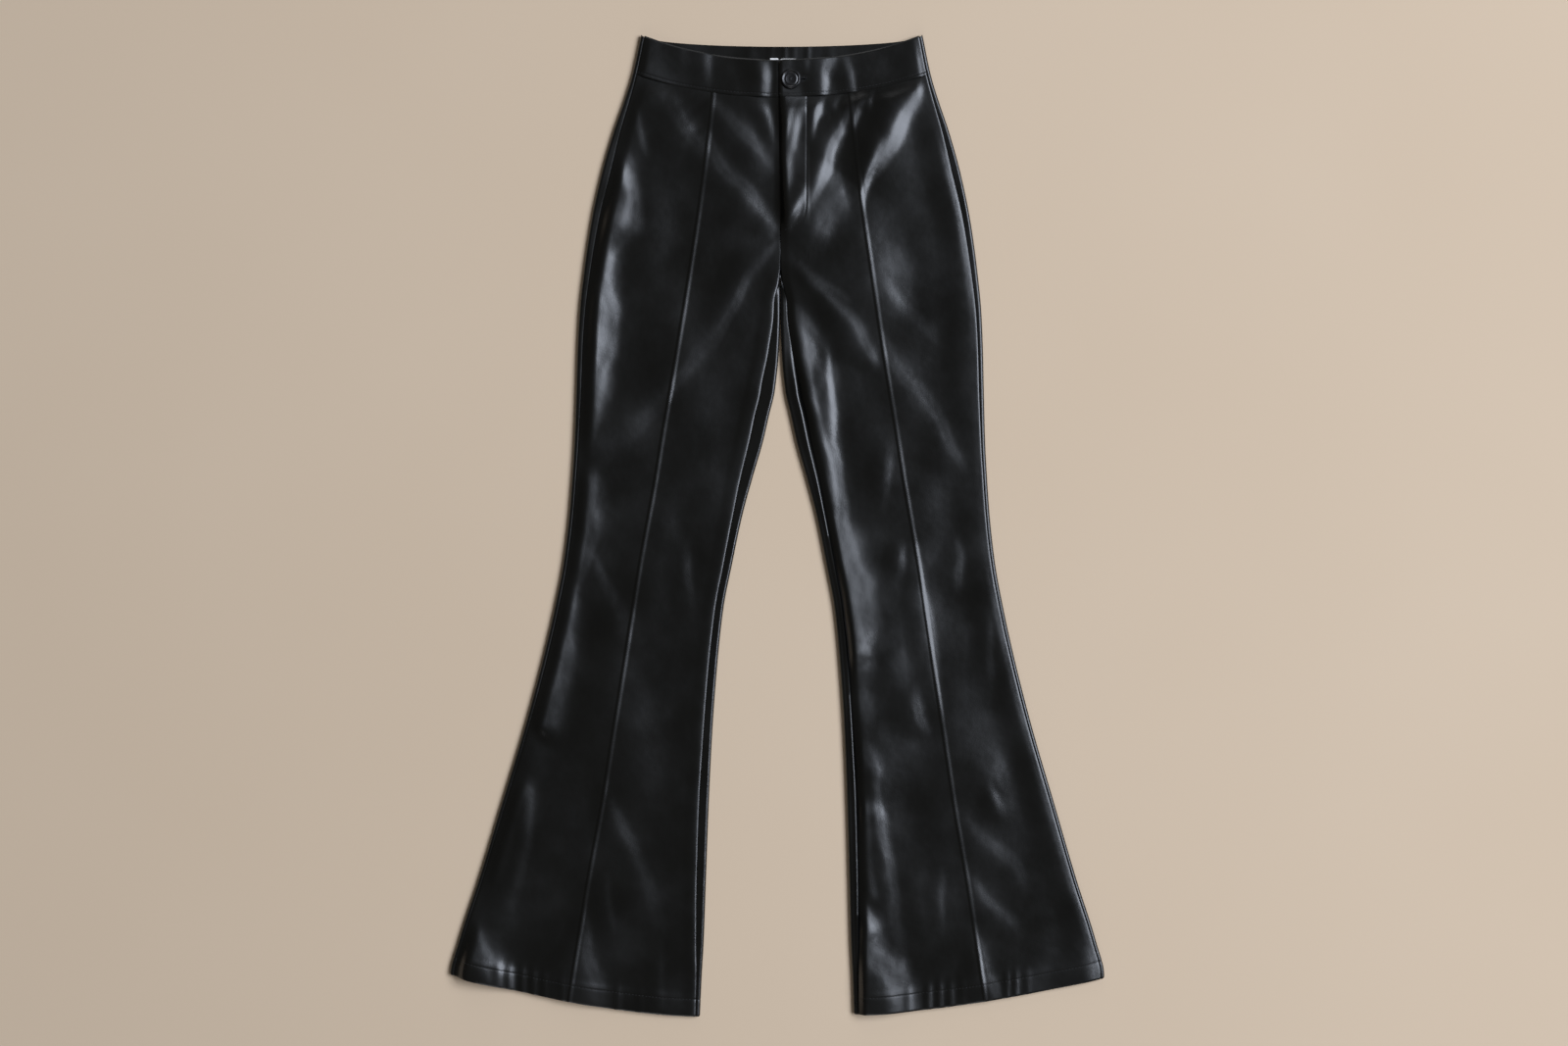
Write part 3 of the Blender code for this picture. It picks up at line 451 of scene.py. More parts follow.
def row_down(leg, row, out, dip):
    """Where a row of the panel lies at one distance out: it follows the waist and the hem."""
    side, inside = section("side", row), section("inside", row)
    share = np.minimum(np.abs(out) / side, 1.0)
    across = np.clip((out - inside) / (side - inside), 0.0, 1.0)
    waist = dip * (1.0 - share**2) * (1.0 - ease(row, BAND, DIP_FADE))
    hem = HEMS[leg].inner_down - LENGTH - HEMS[leg].rise * across**HEM_BOW
    return row + waist + hem * ease(row, HEM_FADE, LENGTH - TURN_UP)


def place(leg, out, down, up):
    """Points in the part's frame, in metres."""
    lean = LEAN * (1.0 - down / SIDE_CORNER)
    points = (SIGN[leg] * out + lean, LENGTH / 2.0 - down, up)
    return np.stack(np.broadcast_arrays(*points), axis=-1) * MM


def panel_rows(count):
    """Rows from the waist seam to the hem, close together where the cloth turns down."""
    top = BAND + np.array(EDGE_ROWS)
    hem = LENGTH - np.array(HEM_EDGE_ROWS)
    stitched = LENGTH - HEM_STITCH + np.array(STITCH_ROWS)
    above = np.linspace(top[-1], stitched[0], count)[1:-1]
    below = np.linspace(stitched[-1], hem[0], HEM_ROWS)[1:-1]
    return np.concatenate([top, above, stitched, below, hem])[:, None]


# ---- rolled edges of the back


def rolled(arc, turn, straight, arc_share, straight_share):
    """An edge rolled up off the floor: how far towards the edge a point lies, and how high."""
    turn = np.maximum(turn, 0.001)
    radius = arc / turn
    toward = radius * np.sin(turn * arc_share) + straight * straight_share * np.cos(turn)
    up = radius * (1.0 - np.cos(turn * arc_share)) + straight * straight_share * np.sin(turn)
    reach = radius * np.sin(np.minimum(turn, math.pi / 2.0))
    return toward, up, reach


def side_roll(down, arc_share=1.0, straight_share=1.0):
    """The back's roll at the side seam."""
    straight = section("side_margin", down) - ROLL_ARC / SIDE_TURN
    return rolled(ROLL_ARC, SIDE_TURN, straight, arc_share, straight_share)


def inseam_share(down):
    """How far the back's inner edge is turned over: not at all above the crotch."""
    return ease(down, CROTCH, FULL_TURN)


def inseam_roll(down, arc_share=1.0, straight_share=1.0):
    """The back's roll at the inseam, which grows from the crotch down."""
    share = inseam_share(down)
    arc = ROLL_ARC * (ARC_LEAST + (1.0 - ARC_LEAST) * share)
    straight = section("inseam_margin", down) - ROLL_ARC / INSEAM_TURN
    straight = straight * (STRAIGHT_LEAST + (1.0 - STRAIGHT_LEAST) * share**4)
    return rolled(arc, INSEAM_TURN * share, straight, arc_share, straight_share)


def side_edge(down):
    """The front's edge at the side seam, and the height of the seam there."""
    toward, up, reach = side_roll(down)
    return section("side", down) - reach + toward - GAP, up


def inner_edge(leg, down):
    """The front's inner edge: at the slit, then at the middle seam, then at the inseam."""
    if leg == "left":
        slit = GAP / 2.0 - LAP * (1.0 - down / FLY_END)
    else:
        start, end = (FLY_END - above for above in UNDERLAP_ENDS)
        slit = GAP / 2.0 - UNDERLAP * (1.0 - ease(down, start, end))
    toward, _, reach = inseam_roll(down)
    share = inseam_share(down)
    turn = np.minimum(INSEAM_TURN * share, math.pi)
    seam = reach - toward + WALL * np.sin(turn)
    seam = np.maximum(seam, np.where(turn > math.pi / 2.0, WALL, 0.0))
    clear = GAP * (1.0 + CLEAR_MORE * share * (1.0 - share))
    inseam = section("inside", down) + seam + clear
    return np.where(down < FLY_END, slit, np.where(down <= CROTCH, GAP / 2.0, inseam))


def inner_height(leg, down):
    """Height of the front's outer face at its inner edge, and how wide it stays so."""
    open_top = LAP_TOP if leg == "left" else UNDER_TOP
    wide = FLY_FACE if leg == "left" else UNDERLAP + ZIP_WIDTH / 2.0 + 1.0
    closing = ease(down, FLY_END, CROTCH)
    above = open_top + (CROTCH_TOP - open_top) * closing
    _, seam_top, _ = inseam_roll(down)
    settled = ease(down, FULL_TURN - CROTCH_SETTLES, FULL_TURN)
    below = CROTCH_TOP + (seam_top - CROTCH_TOP) * settled
    return np.where(down <= CROTCH, above, below), wide * (1.0 - closing)


# ---- creases


def smooth_path(points):
    """A crease's own points with more between them, so that it bends without corners, at the
    widths and heights that are built."""
    points = np.array(points, dtype=float)
    ends = np.vstack([2.0 * points[0] - points[1], points, 2.0 * points[-1] - points[-2]])
    found = []
    for at in range(len(points) - 1):
        before, start, end, after = ends[at : at + 4]
        for step in range(SMOOTH_STEPS):
            t = step / SMOOTH_STEPS
            bend = 2.0 * before - 5.0 * start + 4.0 * end - after
            twist = 3.0 * (start - end) + after - before
            found.append(start + 0.5 * t * (end - before + t * (bend + t * twist)))
    found.append(points[-1])
    found = np.array(found) * [1.0, 1.0, CREASE_WIDER, CREASE_HIGHER]
    return np.hstack([found[:, :2], np.maximum(found[:, 2:], [CREASE_LEAST, 0.0])])


def crease_relief(creases, leg, out, down):
    """What the creases add to the height of the cloth."""
    total = np.zeros(out.shape)
    spots = np.stack([SIGN[leg] * out, -down], axis=-1).reshape(-1, 2)
    for crease in creases:
        path = smooth_path(crease)
        line = path[:, :2] * [SIGN[leg], -1.0]
        reach = (path[:, 2].max() + SOFT_MORE) * (0.5 + BACK_SHARE) + BACK_LEAST
        low, high = line.min(axis=0) - reach, line.max(axis=0) + reach
        near = np.flatnonzero(((spots > low) & (spots < high)).all(axis=1))
        if len(near) == 0:
            continue
        run, share, passed, across, beyond = beside_path(spots[near], line)
        sizes = path[run, 2:] + (path[run + 1, 2:] - path[run, 2:]) * share[:, None]
        width, height = sizes.T
        shape = crease_shape(across, width, passed)
        total.reshape(-1)[near] += height * shape * falling(beyond, width)
    return total


def beside_path(spots, line):
    """Where spots lie by a crease: the nearest run of its path, the share of that run and the
    length of path passed, how far across towards the light, and how far beyond an end."""
    runs = np.diff(line, axis=0)
    lengths = np.linalg.norm(runs, axis=1)
    from_start = spots[:, None, :] - line[None, :-1, :]
    shares = np.clip((from_start * runs).sum(axis=2) / lengths**2, 0.0, 1.0)
    away = from_start - shares[..., None] * runs
    distances = np.linalg.norm(away, axis=2)
    run = distances.argmin(axis=1)
    rows = np.arange(len(spots))
    share, distance = shares[rows, run], distances[rows, run]
    turned = np.stack([runs[:, 1], -runs[:, 0]], axis=1)
    light = np.array([math.cos(LIGHT_SIDE), math.sin(LIGHT_SIDE)])
    to_light = 1.0 if (turned.sum(axis=0) @ light) > 0.0 else -1.0
    beside = (away[rows, run] * turned[run]).sum(axis=1) * to_light / lengths[run]
    ended = (run == 0) & (share == 0.0) | (run == len(runs) - 1) & (share == 1.0)
    across = np.where(ended, beside, np.copysign(distance, beside))
    beyond = np.where(ended, np.sqrt(np.maximum(distance**2 - beside**2, 0.0)), 0.0)
    passed = np.concatenate([[0.0], np.cumsum(lengths)])[run] + share * lengths[run]
    return run, share, passed, across, beyond


def crease_shape(across, width, passed):
    """A crease's height across its wandering path, from 0 to 1, with its fine ridges."""
    wander = sum(share * np.sin(passed / run + start) for share, run, start in WANDER)
    across = across + width * wander
    shape = (1.0 - SOFT_SHARE) * slope_profile(across, width)
    shape = shape + SOFT_SHARE * slope_profile(across, width + SOFT_MORE)
    turned_by = RIPPLE_TURN * np.sin(passed / RIPPLE_RUN)
    ripple = np.sin(math.tau * across / (RIPPLE_PITCH * width) + turned_by)
    return shape + RIPPLE * ripple * bump(across, RIPPLE_ZONE * width)


def slope_profile(across, width):
    """A crease's height across its path: a slow climb to the crest, then the lit slope."""
    back = np.maximum(BACK_SHARE * width, BACK_LEAST)
    climb = ease(across + width / 2.0 + back, 0.0, back)
    return np.where(across < -width / 2.0, climb, 1.0 - ease(across, -width / 2.0, width / 2.0))


def swell(leg, out, down):
    """The slow, shallow unevenness of cloth that lies on more cloth: three sets of waves, each
    with its own runs out and down."""
    turn = SWELL_START[leg]
    wide = np.sin(out / 19.0 + turn + 1.3 * np.sin(down / 67.0)) * np.sin(down / 83.0 + turn)
    long = np.sin(out / 11.0 - down / 140.0 + 2.0 * turn) * np.sin(down / 37.0 + 1.9 * turn)
    cross = np.sin(out / 31.0 + down / 53.0 + turn) * np.sin(down / 29.0 - out / 47.0)
    return SWELL * (0.8 + 0.36 * wide + 0.2 * long + 0.22 * cross)


def along_path(points, out, down):
    """Distance of each point from a line of points."""
    line = np.array(points)
    runs = np.diff(line, axis=0)
    from_start = np.stack([out, down], axis=-1)[..., None, :] - line[:-1]
    along = np.clip((from_start * runs).sum(-1) / (runs**2).sum(-1), 0.0, 1.0)
    return np.linalg.norm(from_start - along[..., None] * runs, axis=-1).min(-1)


# ---- front panels


def front_lie(leg, row, out, down):
    """Height of the front's outer face, before its pin-tuck, seams and stitches."""
    edge, edge_top = side_edge(down)
    inner = inner_edge(leg, down)
    inner_top, flat = inner_height(leg, down)
    onto_hem = ease(row, LENGTH - TURN_UP - HEM_STEP, LENGTH - TURN_UP)
    low = FRONT_LOW + (HEM_LOW - FRONT_LOW) * (0.5 * onto_hem + 0.5 * ease(row, *HEM_CLIMB))
    up = low + swell(leg, out, down)
    lip = LIP_HEIGHT * changing(down, LIP_CHANGES)
    up += lip * bump(out - inner - LIP_HALF, LIP_HALF)
    up += (edge_top - up) * falling(edge - out, SIDE_SLOPE)
    up += (inner_top - up) * falling(out - inner - flat, INNER_SLOPE)
    up += fly_relief(leg, out, down) * (1.0 - ease(down, LAP_FADE, FLY_END))
    if leg == "left":
        grown = changing(down, SIDE_SWELL_CHANGES)
        up += SIDE_SWELL * grown * seam_swell(edge - out, SIDE_SWELL_WIDE)
    else:
        up += INSEAM_SWELL * inseam_share(down) * seam_swell(out - inner, INSEAM_SWELL_WIDE)
    at_seam = ease(edge - out, *FROM_SIDE) * ease(out - inner, *FROM_INNER)
    at_seam = at_seam * ease(row - BAND, *FROM_WAIST)
    up += crease_relief(CREASES[leg], leg, out, down) * at_seam
    for gather_out, width, height in HEM_GATHERS[leg]:
        up += height * (bump(out - gather_out, width) * ease(row, *GATHER_ROWS))
    return FRONT_LEAST + softly_above(up - FRONT_LEAST)


def seam_swell(from_seam, width):
    """A low ridge beside a seam."""
    return ease(from_seam, -1.0, width) * (1.0 - ease(from_seam, width, 4.0 * width))


def softly_above(height):
    """The height where it is well above 0, and never below 0, with a smooth change between."""
    return 0.5 * (height + np.sqrt(height**2 + LEAST_BLEND))


def fly_relief(leg, out, down):
    """How the lap stands up at its fold, and how the part beneath tips up against it."""
    fold = LAP * (1.0 - down / FLY_END)
    if leg == "left":
        return LAP_RISE * sprung(out + fold, LAP_START, LAP_BEND, LAP_FALL)
    return UNDER_TIP * tipped(out - fold, UNDER_TIP_CLIMB)


def sprung(across, start, bend, fall):
    """A folded edge from 0 to 1: it springs up as far as its bend, then slopes away."""
    return ease(across, start, bend) * (1.0 - np.clip((across - bend) / fall, 0.0, 1.0))


def tipped(across, climb):
    """The part beneath from 0 to 1: it climbs towards the lap's edge, then falls away."""
    return ease(across, *climb) * falling(across, UNDER_TIP_WIDE)


def front_detail(leg, row, out, down):
    """The pin-tuck, the turned-down edges and the pull of the stitches."""
    across = SIGN[leg] * (out - section("tuck", down))
    grown = TUCK_AT_WAIST + (1.0 - TUCK_AT_WAIST) * ease(down, *TUCK_GROWS)
    height = TUCK_HEIGHT[leg] * grown
    up = height * ease(across, TUCK_LOW, TUCK_CREST)
    up -= height * ease(across, TUCK_CREST, TUCK_FOOT)
    edge, inner = side_edge(down)[0], inner_edge(leg, down)
    up -= SEAM_DROP * falling(edge - out, SEAM_ROUND)
    middle = ease(down, FLY_END - FLY_JOIN, FLY_END) * (1.0 - inseam_share(down))
    up -= SEAM_DROP * (1.0 - MIDDLE_SHALLOW * middle) * falling(out - inner, SEAM_ROUND)
    up -= WAIST_DROP * falling(row - BAND, SEAM_ROUND)
    up -= EDGE_DROP * falling(LENGTH - row, EDGE_ROUND)
    up -= HEM_GROOVE * bump(row - LENGTH + HEM_STITCH, GROOVE_HALF)
    if leg == "left":
        up -= FLY_GROOVE * bump(along_path(FLY_PATH, out, down), GROOVE_HALF)
    return up


def front_columns(leg, down):
    """Distances out of the columns of points across a front."""
    edge, inner, tuck = side_edge(down)[0], inner_edge(leg, down), section("tuck", down)
    fly = np.maximum(inner, GAP / 2.0) + FLY_PATH[0][0] - GAP / 2.0
    knots = (
        (edge, ROUND_STEPS),
        (edge - SEAM_ROUND, SIDE_STEPS),
        (tuck + TUCK_ZONE, TUCK_STEPS),
        (tuck - TUCK_ZONE, INNER_STEPS),
        (fly + FLY_ZONE, FLY_STEPS),
        (fly - FLY_ZONE, FACE_STEPS),
        (inner + SEAM_ROUND, ROUND_STEPS),
        (inner, 0),
    )
    return spaced(knots)


def spaced(knots):
    """Columns between knots, each given with its steps to the next; it takes in either one
    column of knots, or a grid with a value for every column."""
    found = []
    column = 0
    for (start, steps), (end, _) in zip(knots, knots[1:]):
        for step in range(steps):
            found.append(knot_value(start, column) * (1.0 - step / steps)
                         + knot_value(end, column) * step / steps)
            column += 1
    found.append(knot_value(knots[-1][0], column))
    return np.stack(found, axis=-1)


def knot_value(knot, column):
    """The value that a knot has in one column."""
    return knot[:, 0] if knot.shape[1] == 1 else knot[:, column]


def hem_layers(row):
    """How far a row lies in the hem, from 0 to 1, and the thickness of the cloth there."""
    share = ease(row, LENGTH - TURN_UP - WALL_STEP, LENGTH - TURN_UP)
    return share, WALL + (HEM_WALL - WALL) * share


def front_points(leg):
    """(outer, inner) grids of a front panel."""
    row = panel_rows(PANEL_ROWS)
    out = front_columns(leg, row)
    down = row_down(leg, row, out, FRONT_DIP)
    out = front_columns(leg, down)
    lie = front_lie(leg, row, out, down)
    up = lie + front_detail(leg, row, out, down)
    _, wall = hem_layers(row)
    return place(leg, out, down, up), place(leg, out, down, lie - wall)


# ---- back panels


def back_columns(flat_steps):
    """Where each column lies: (roll, share of the arc, share of the straight, share of flat)."""
    columns = []
    for step in range(MARGIN_STEPS):
        columns.append((1, 1.0, 1.0 - step / MARGIN_STEPS, 0.0))
    for step in range(ARC_STEPS):
        columns.append((1, 1.0 - step / ARC_STEPS, 0.0, 0.0))
    for step in range(flat_steps + 1):
        columns.append((0, 0.0, 0.0, step / flat_steps))
    for step in range(1, ARC_STEPS + 1):
        columns.append((-1, step / ARC_STEPS, 0.0, 0.0))
    for step in range(1, MARGIN_STEPS + 1):
        columns.append((-1, 1.0, step / MARGIN_STEPS, 0.0))
    return np.array(columns).T[:, None, :]


def back_section(down, columns):
    """(out, up) over the columns of a back panel."""
    roll, arc_share, straight_share, flat_share = columns
    outer, outer_up, outer_reach = side_roll(down, arc_share, straight_share)
    inner, inner_up, inner_reach = inseam_roll(down, arc_share, straight_share)
    flat_out = section("side", down) - outer_reach
    flat_in = section("inside", down) + inner_reach
    flat = flat_out + (flat_in - flat_out) * flat_share
    out = np.where(roll > 0, flat_out + outer, np.where(roll < 0, flat_in - inner, flat))
    up = np.where(roll > 0, outer_up, np.where(roll < 0, inner_up, 0.0))
    return out, up


def back_points(leg):
    """(outer, inner) grids of a back panel."""
    columns = back_columns(FLAT_STEPS)
    row = panel_rows(BACK_ROWS)
    out, _ = back_section(row, columns)
    down = row_down(leg, row, out, BACK_DIP)
    out, up = back_section(down, columns)
    on_floor = columns[0] == 0
    middle = np.where(on_floor, bump(columns[3] - 0.5, 0.5), 0.0)
    troughs = crease_relief(UNDER_CREASES, leg, out, down)
    troughs = troughs * np.minimum(UNDER_FADE * middle, 1.0)
    if leg == "left":
        share = np.where(columns[0] < 0, columns[2], 0.0)
        hump = ease(share, 0.0, STRIP_CREST) * (1.0 - ease(share, STRIP_CREST, 1.0))
        hump = hump * section("inseam_margin", down) * ease(down, *STRIP_STARTS)
        up = up + STRIP_HUMP * hump
    hem, wall = hem_layers(row)
    up = up + troughs * (1.0 - hem)
    outer = place(leg, out, down, up)
    inner = outer - normals(outer) * wall[..., None] * MM
    outward = normals(outer)
    pulled = HEM_GROOVE * bump(row - LENGTH + HEM_STITCH, GROOVE_HALF)
    pulled = pulled + EDGE_DROP * falling(LENGTH - row, EDGE_ROUND)
    from_end = np.where(columns[0] != 0, edge_distance(outer), FAR)
    pulled = pulled + BACK_SEAM_DROP * falling(from_end, SEAM_ROUND)
    outer = outer - outward * pulled[..., None] * MM
    return outer, inner


def edge_distance(points):
    """Distance along each row from the nearer end, in millimetres."""
    steps = np.linalg.norm(np.diff(points, axis=1), axis=2) / MM
    start = np.zeros((len(points), 1))
    from_first = np.hstack([start, np.cumsum(steps, axis=1)])
    return np.minimum(from_first, from_first[:, -1:] - from_first)


def normals(points):
    """Unit normals of a grid of points whose outer side faces the floor."""
    down = np.gradient(points, axis=0)
    across = np.gradient(points, axis=1)
    found = np.cross(across, down)
    found /= np.linalg.norm(found, axis=2, keepdims=True)
    lowest = found[:, found.shape[1] // 2]
    return found if lowest[:, 2].mean() < 0.0 else -found


# ---- waistband


def corner_drop(from_edge):
    """The rounded top corner of the lapped end."""
    inside = np.clip(from_edge, 0.0, LAP_CORNER)
    return LAP_CORNER - np.sqrt(LAP_CORNER**2 - (LAP_CORNER - inside) ** 2)


def band_lie(leg, out, down):
    """Height of the front waistband's outer face, before its seams and stitches."""
    edge, edge_top = side_edge(down)
    above = 1.0 - ease(down, *BAND_STEP)
    if leg == "left":
        inner_top, flat = LAP_TOP + (BAND_LAP_TOP - LAP_TOP) * above, FLY_FACE
    else:
        inner_top, flat = UNDER_TOP + (BAND_UNDER_TOP - UNDER_TOP) * above, UNDER_FLAT
    up = BAND_LOW + (edge_top - BAND_LOW) * falling(edge - out, SIDE_SLOPE)
    up = up + (inner_top - up) * falling(out - flat, BAND_SLOPE)
    if leg == "left":
        up = up + BAND_RISE * sprung(out + LAP, BAND_LAP_START, BAND_BEND, BAND_FALL)
        from_button = np.hypot(out - BUTTON_OUT, down - BUTTON_DOWN)
        up = up - DIMPLE * bump(from_button, DIMPLE_REACH)
    else:
        up = up + UNDER_TIP * tipped(out - LAP, BAND_TIP_CLIMB)
    at_end = ease(edge - out, *FROM_BAND_SIDE) * ease(out, *FROM_BAND_END)
    return up + crease_relief(BAND_CREASES[leg], leg, out, down) * at_end


def band_columns(leg, down):
    """Distances out of the columns of points across a waistband end, and of its end."""
    edge = side_edge(down)[0]
    end = inner_edge("left", down) if leg == "left" else np.full(down.shape, -BAND_UNDERLAP)
    knots = (
        (edge, ROUND_STEPS),
        (edge - SEAM_ROUND, BAND_COLUMNS),
        (end + EDGE_ROUND, ROUND_STEPS),
        (end, 0),
    )
    return spaced(knots), end


def band_depths():
    """Shares of the waistband's depth, close together at both edges and at the stitches."""
    middle = np.linspace(BAND_EDGE_ROWS[-1], BAND_STITCH_ROWS[0], BAND_ROWS)[1:-1]
    parts = [BAND_EDGE_ROWS, middle, BAND_STITCH_ROWS, BAND_SEAM_ROWS]
    return np.concatenate(parts)[:, None]


def band_down(leg, share, out, depth):
    """Where a share of the waistband's depth lies, and the seam below it."""
    level = 1.0 - np.minimum(np.abs(share), 1.0) ** 2
    top = FRONT_TOP_DIP * level
    seam = BAND - GAP + FRONT_DIP * level
    if leg == "left":
        top = top + corner_drop(out + LAP)
    return top + (seam - top) * depth, seam


def band_points(leg):
    """(outer, inner) grids of a front waistband."""
    depth = band_depths()
    down = BAND * depth
    for _ in range(SETTLE):
        out, end = band_columns(leg, down)
        down, seam = band_down(leg, out / section("side", down), out, depth)
    lie = band_lie(leg, out, down)
    from_seam = seam - down
    up = lie - SEAM_DROP * falling(side_edge(down)[0] - out, SEAM_ROUND)
    up = up - EDGE_DROP * falling(out - end, EDGE_ROUND)
    up = up - EDGE_DROP * falling(depth * BAND_DEPTH, EDGE_ROUND)
    up = up - SEAM_DROP * falling(from_seam, SEAM_ROUND)
    up = up - BAND_GROOVE * bump(from_seam - BAND_STITCH, GROOVE_HALF)
    return place(leg, out, down, up), place(leg, out, down, lie - WALL)


def back_band_down(share, depth):
    """Where a share of the back waistband's depth lies."""
    level = 1.0 - share**2
    top = BACK_TOP_DIP * np.sqrt(level)
    seam = BAND - GAP + BACK_DIP * level
    return top + (seam - top) * depth


def back_band_section(down, columns):
    """(signed out, up) across the whole back waistband, from one side seam to the other."""
    roll, arc_share, straight_share, flat_share = columns
    toward, up, reach = side_roll(down, arc_share, straight_share)
    flat = section("side", down) - reach
    out = np.where(roll == 0, flat * (1.0 - 2.0 * flat_share), roll * (flat + toward))
    return out, np.where(roll == 0, 0.0, up)


def back_band_points():
    """(outer, inner) grids of the back waistband."""
    depth = np.linspace(0.0, 1.0, FACING_ROWS)[:, None]
    columns = back_columns(2 * FLAT_STEPS)
    down = BAND * depth
    for _ in range(SETTLE):
        out, up = back_band_section(down, columns)
        share = np.minimum(np.abs(out) / section("side", down), 1.0)
        down = back_band_down(share, depth)
    outer = place("left", out, down, up)
    outward = normals(outer)
    inner = outer - outward * WALL * MM
    from_end = np.where(columns[0] != 0, edge_distance(outer), FAR)
    pulled = BACK_SEAM_DROP * falling(from_end, SEAM_ROUND)
    return outer - outward * pulled[..., None] * MM, inner


def facing_points():
    """The inside of the back waistband, which shows above the front's dipped edge."""
    share = np.linspace(1.0, -1.0, 2 * BAND_COLUMNS)[None, :]
    depths = np.linspace(*FACING_DEPTHS, FACING_ROWS)[:, None]
    down = back_band_down(np.abs(share), depths)
    out = share * (section("side", down) - FACING_ENDS)
    up = np.full(out.shape, FACING_LIE)
    for gather_out, width, height in FACING_GATHERS:
        up = up + height * bump(out - gather_out, width)
    up = np.minimum(up, FACING_LIE + GATHER_MOST)
    up = up - FACING_EDGE_DROP * falling(depths * BAND_DEPTH, FACING_EDGE)
    low = np.full(out.shape, FACING_LIE - FACING_WALL)
    return place("left", out, down, up), place("left", out, down, low)


# ---- meshes


def shell(name, grids, material):
    """A thin closed wall between two grids of points, of which the first is the outer face."""
    outer, inner = grids
    rows, columns = outer.shape[:2]
    count = rows * columns
    index = np.arange(count).reshape(rows, columns)
    corners = (index[:-1, :-1], index[:-1, 1:], index[1:, 1:], index[1:, :-1])
    front = np.stack(corners, axis=-1).reshape(-1, 4)
    ring = np.concatenate([index[0, :-1], index[:-1, -1], index[-1, :0:-1], index[:0:-1, 0]])
    after = np.roll(ring, -1)
    rim = np.stack([after, ring, ring + count, after + count], axis=-1)
    faces = np.concatenate([front, front[:, ::-1] + count, rim])
    points = np.concatenate([outer.reshape(-1, 3), inner.reshape(-1, 3)])
    a, b, c, d = (points[faces[:, i]] for i in range(4))
    volume = (np.cross(b - a, c - a) * a).sum() + (np.cross(c - a, d - a) * a).sum()
    if volume < 0.0:
        faces = faces[:, ::-1]
    mesh = bpy.data.meshes.new(name)
    mesh.from_pydata(points.tolist(), [], faces.tolist())
    mesh.shade_smooth()
    mesh.set_sharp_from_angle(angle=SHARP_FROM)
    return new_piece(name, mesh, material)


def new_object(name, data):
    """An object in the scene."""
    made = bpy.data.objects.new(name, data)
    bpy.context.scene.collection.objects.link(made)
    return made


def new_piece(name, mesh, material):
    """An object of one material."""
    mesh.materials.append(material)
    return new_object(name, mesh)


def applied(made):
    """The object with its modifiers made part of its mesh."""
    graph = bpy.context.evaluated_depsgraph_get()
    mesh = bpy.data.meshes.new_from_object(made.evaluated_get(graph))
    made.modifiers.clear()
    made.data = mesh
    return made


# ---- materials


CLOUD_LOW, CLOUD_HIGH = 0.3, 0.7


def linear(colour):
    """An sRGB hex colour as linear values."""
    parts = [int(colour[i : i + 2], 16) / 255.0 for i in (1, 3, 5)]
    found = [p / 12.92 if p <= 0.04045 else ((p + 0.055) / 1.055) ** 2.4 for p in parts]
    return (*found, 1.0)


def give(tree, node, inputs):
    """Gives a node's inputs plain values, or links them to other nodes' outputs."""
    for name, value in inputs.items():
        if isinstance(value, bpy.types.NodeSocket):
            tree.links.new(value, node.inputs[name])
        else:
            node.inputs[name].default_value = value


def add_node(tree, kind, inputs=None, **settings):
    """A node with its settings and inputs."""
    made = tree.nodes.new(kind)
    for name, value in settings.items():
        setattr(made, name, value)
    give(tree, made, inputs or {})
    return made


def new_material(name, colour):
    """A material, its nodes, and the place on the piece that its patterns go by."""
    material = bpy.data.materials.new(name)
    material.use_nodes = True
    material.diffuse_color = linear(colour)
    tree = material.node_tree
    return material, tree, add_node(tree, "ShaderNodeTexCoord").outputs["Object"]


def coat(material, inputs):
    """The material, once its shader has been given its inputs."""
    tree = material.node_tree
    give(tree, tree.nodes["Principled BSDF"], inputs)
    return material


def every(pitch):
    """The scale of a pattern that repeats at a pitch in millimetres."""
    return 1.0 / (pitch * MM)


def cloudy(tree, place_on, pitch, detail):
    """A soft random pattern from 0 to 1."""
    inputs = {"Vector": place_on, "Scale": every(pitch), "Detail": detail}
    return add_node(tree, "ShaderNodeTexNoise", inputs).outputs["Fac"]


def spread(tree, pattern, low, high):
    """A cloudy pattern, nearly all of it from CLOUD_LOW to CLOUD_HIGH, spread from low to high."""
    inputs = {"Value": pattern, "From Min": CLOUD_LOW, "From Max": CLOUD_HIGH}
    inputs.update({"To Min": low, "To Max": high})
    return add_node(tree, "ShaderNodeMapRange", inputs).outputs["Result"]


def two_tones(tree, pattern, first, second):
    """A colour that changes with a pattern."""
    made = add_node(tree, "ShaderNodeMix", {"Factor": pattern}, data_type="RGBA")
    # Mix has an input of the same name for each kind of value, so the colours go by place
    give(tree, made, {6: linear(first), 7: linear(second)})
    return made.outputs[2]


def raised(tree, pattern, strength, distance, also=None, **settings):
    """A surface raised by a pattern over a distance in millimetres, and by another relief."""
    inputs = {"Strength": strength, "Distance": distance * MM, "Height": pattern}
    if also is not None:
        inputs["Normal"] = also
    return add_node(tree, "ShaderNodeBump", inputs, **settings).outputs["Normal"]


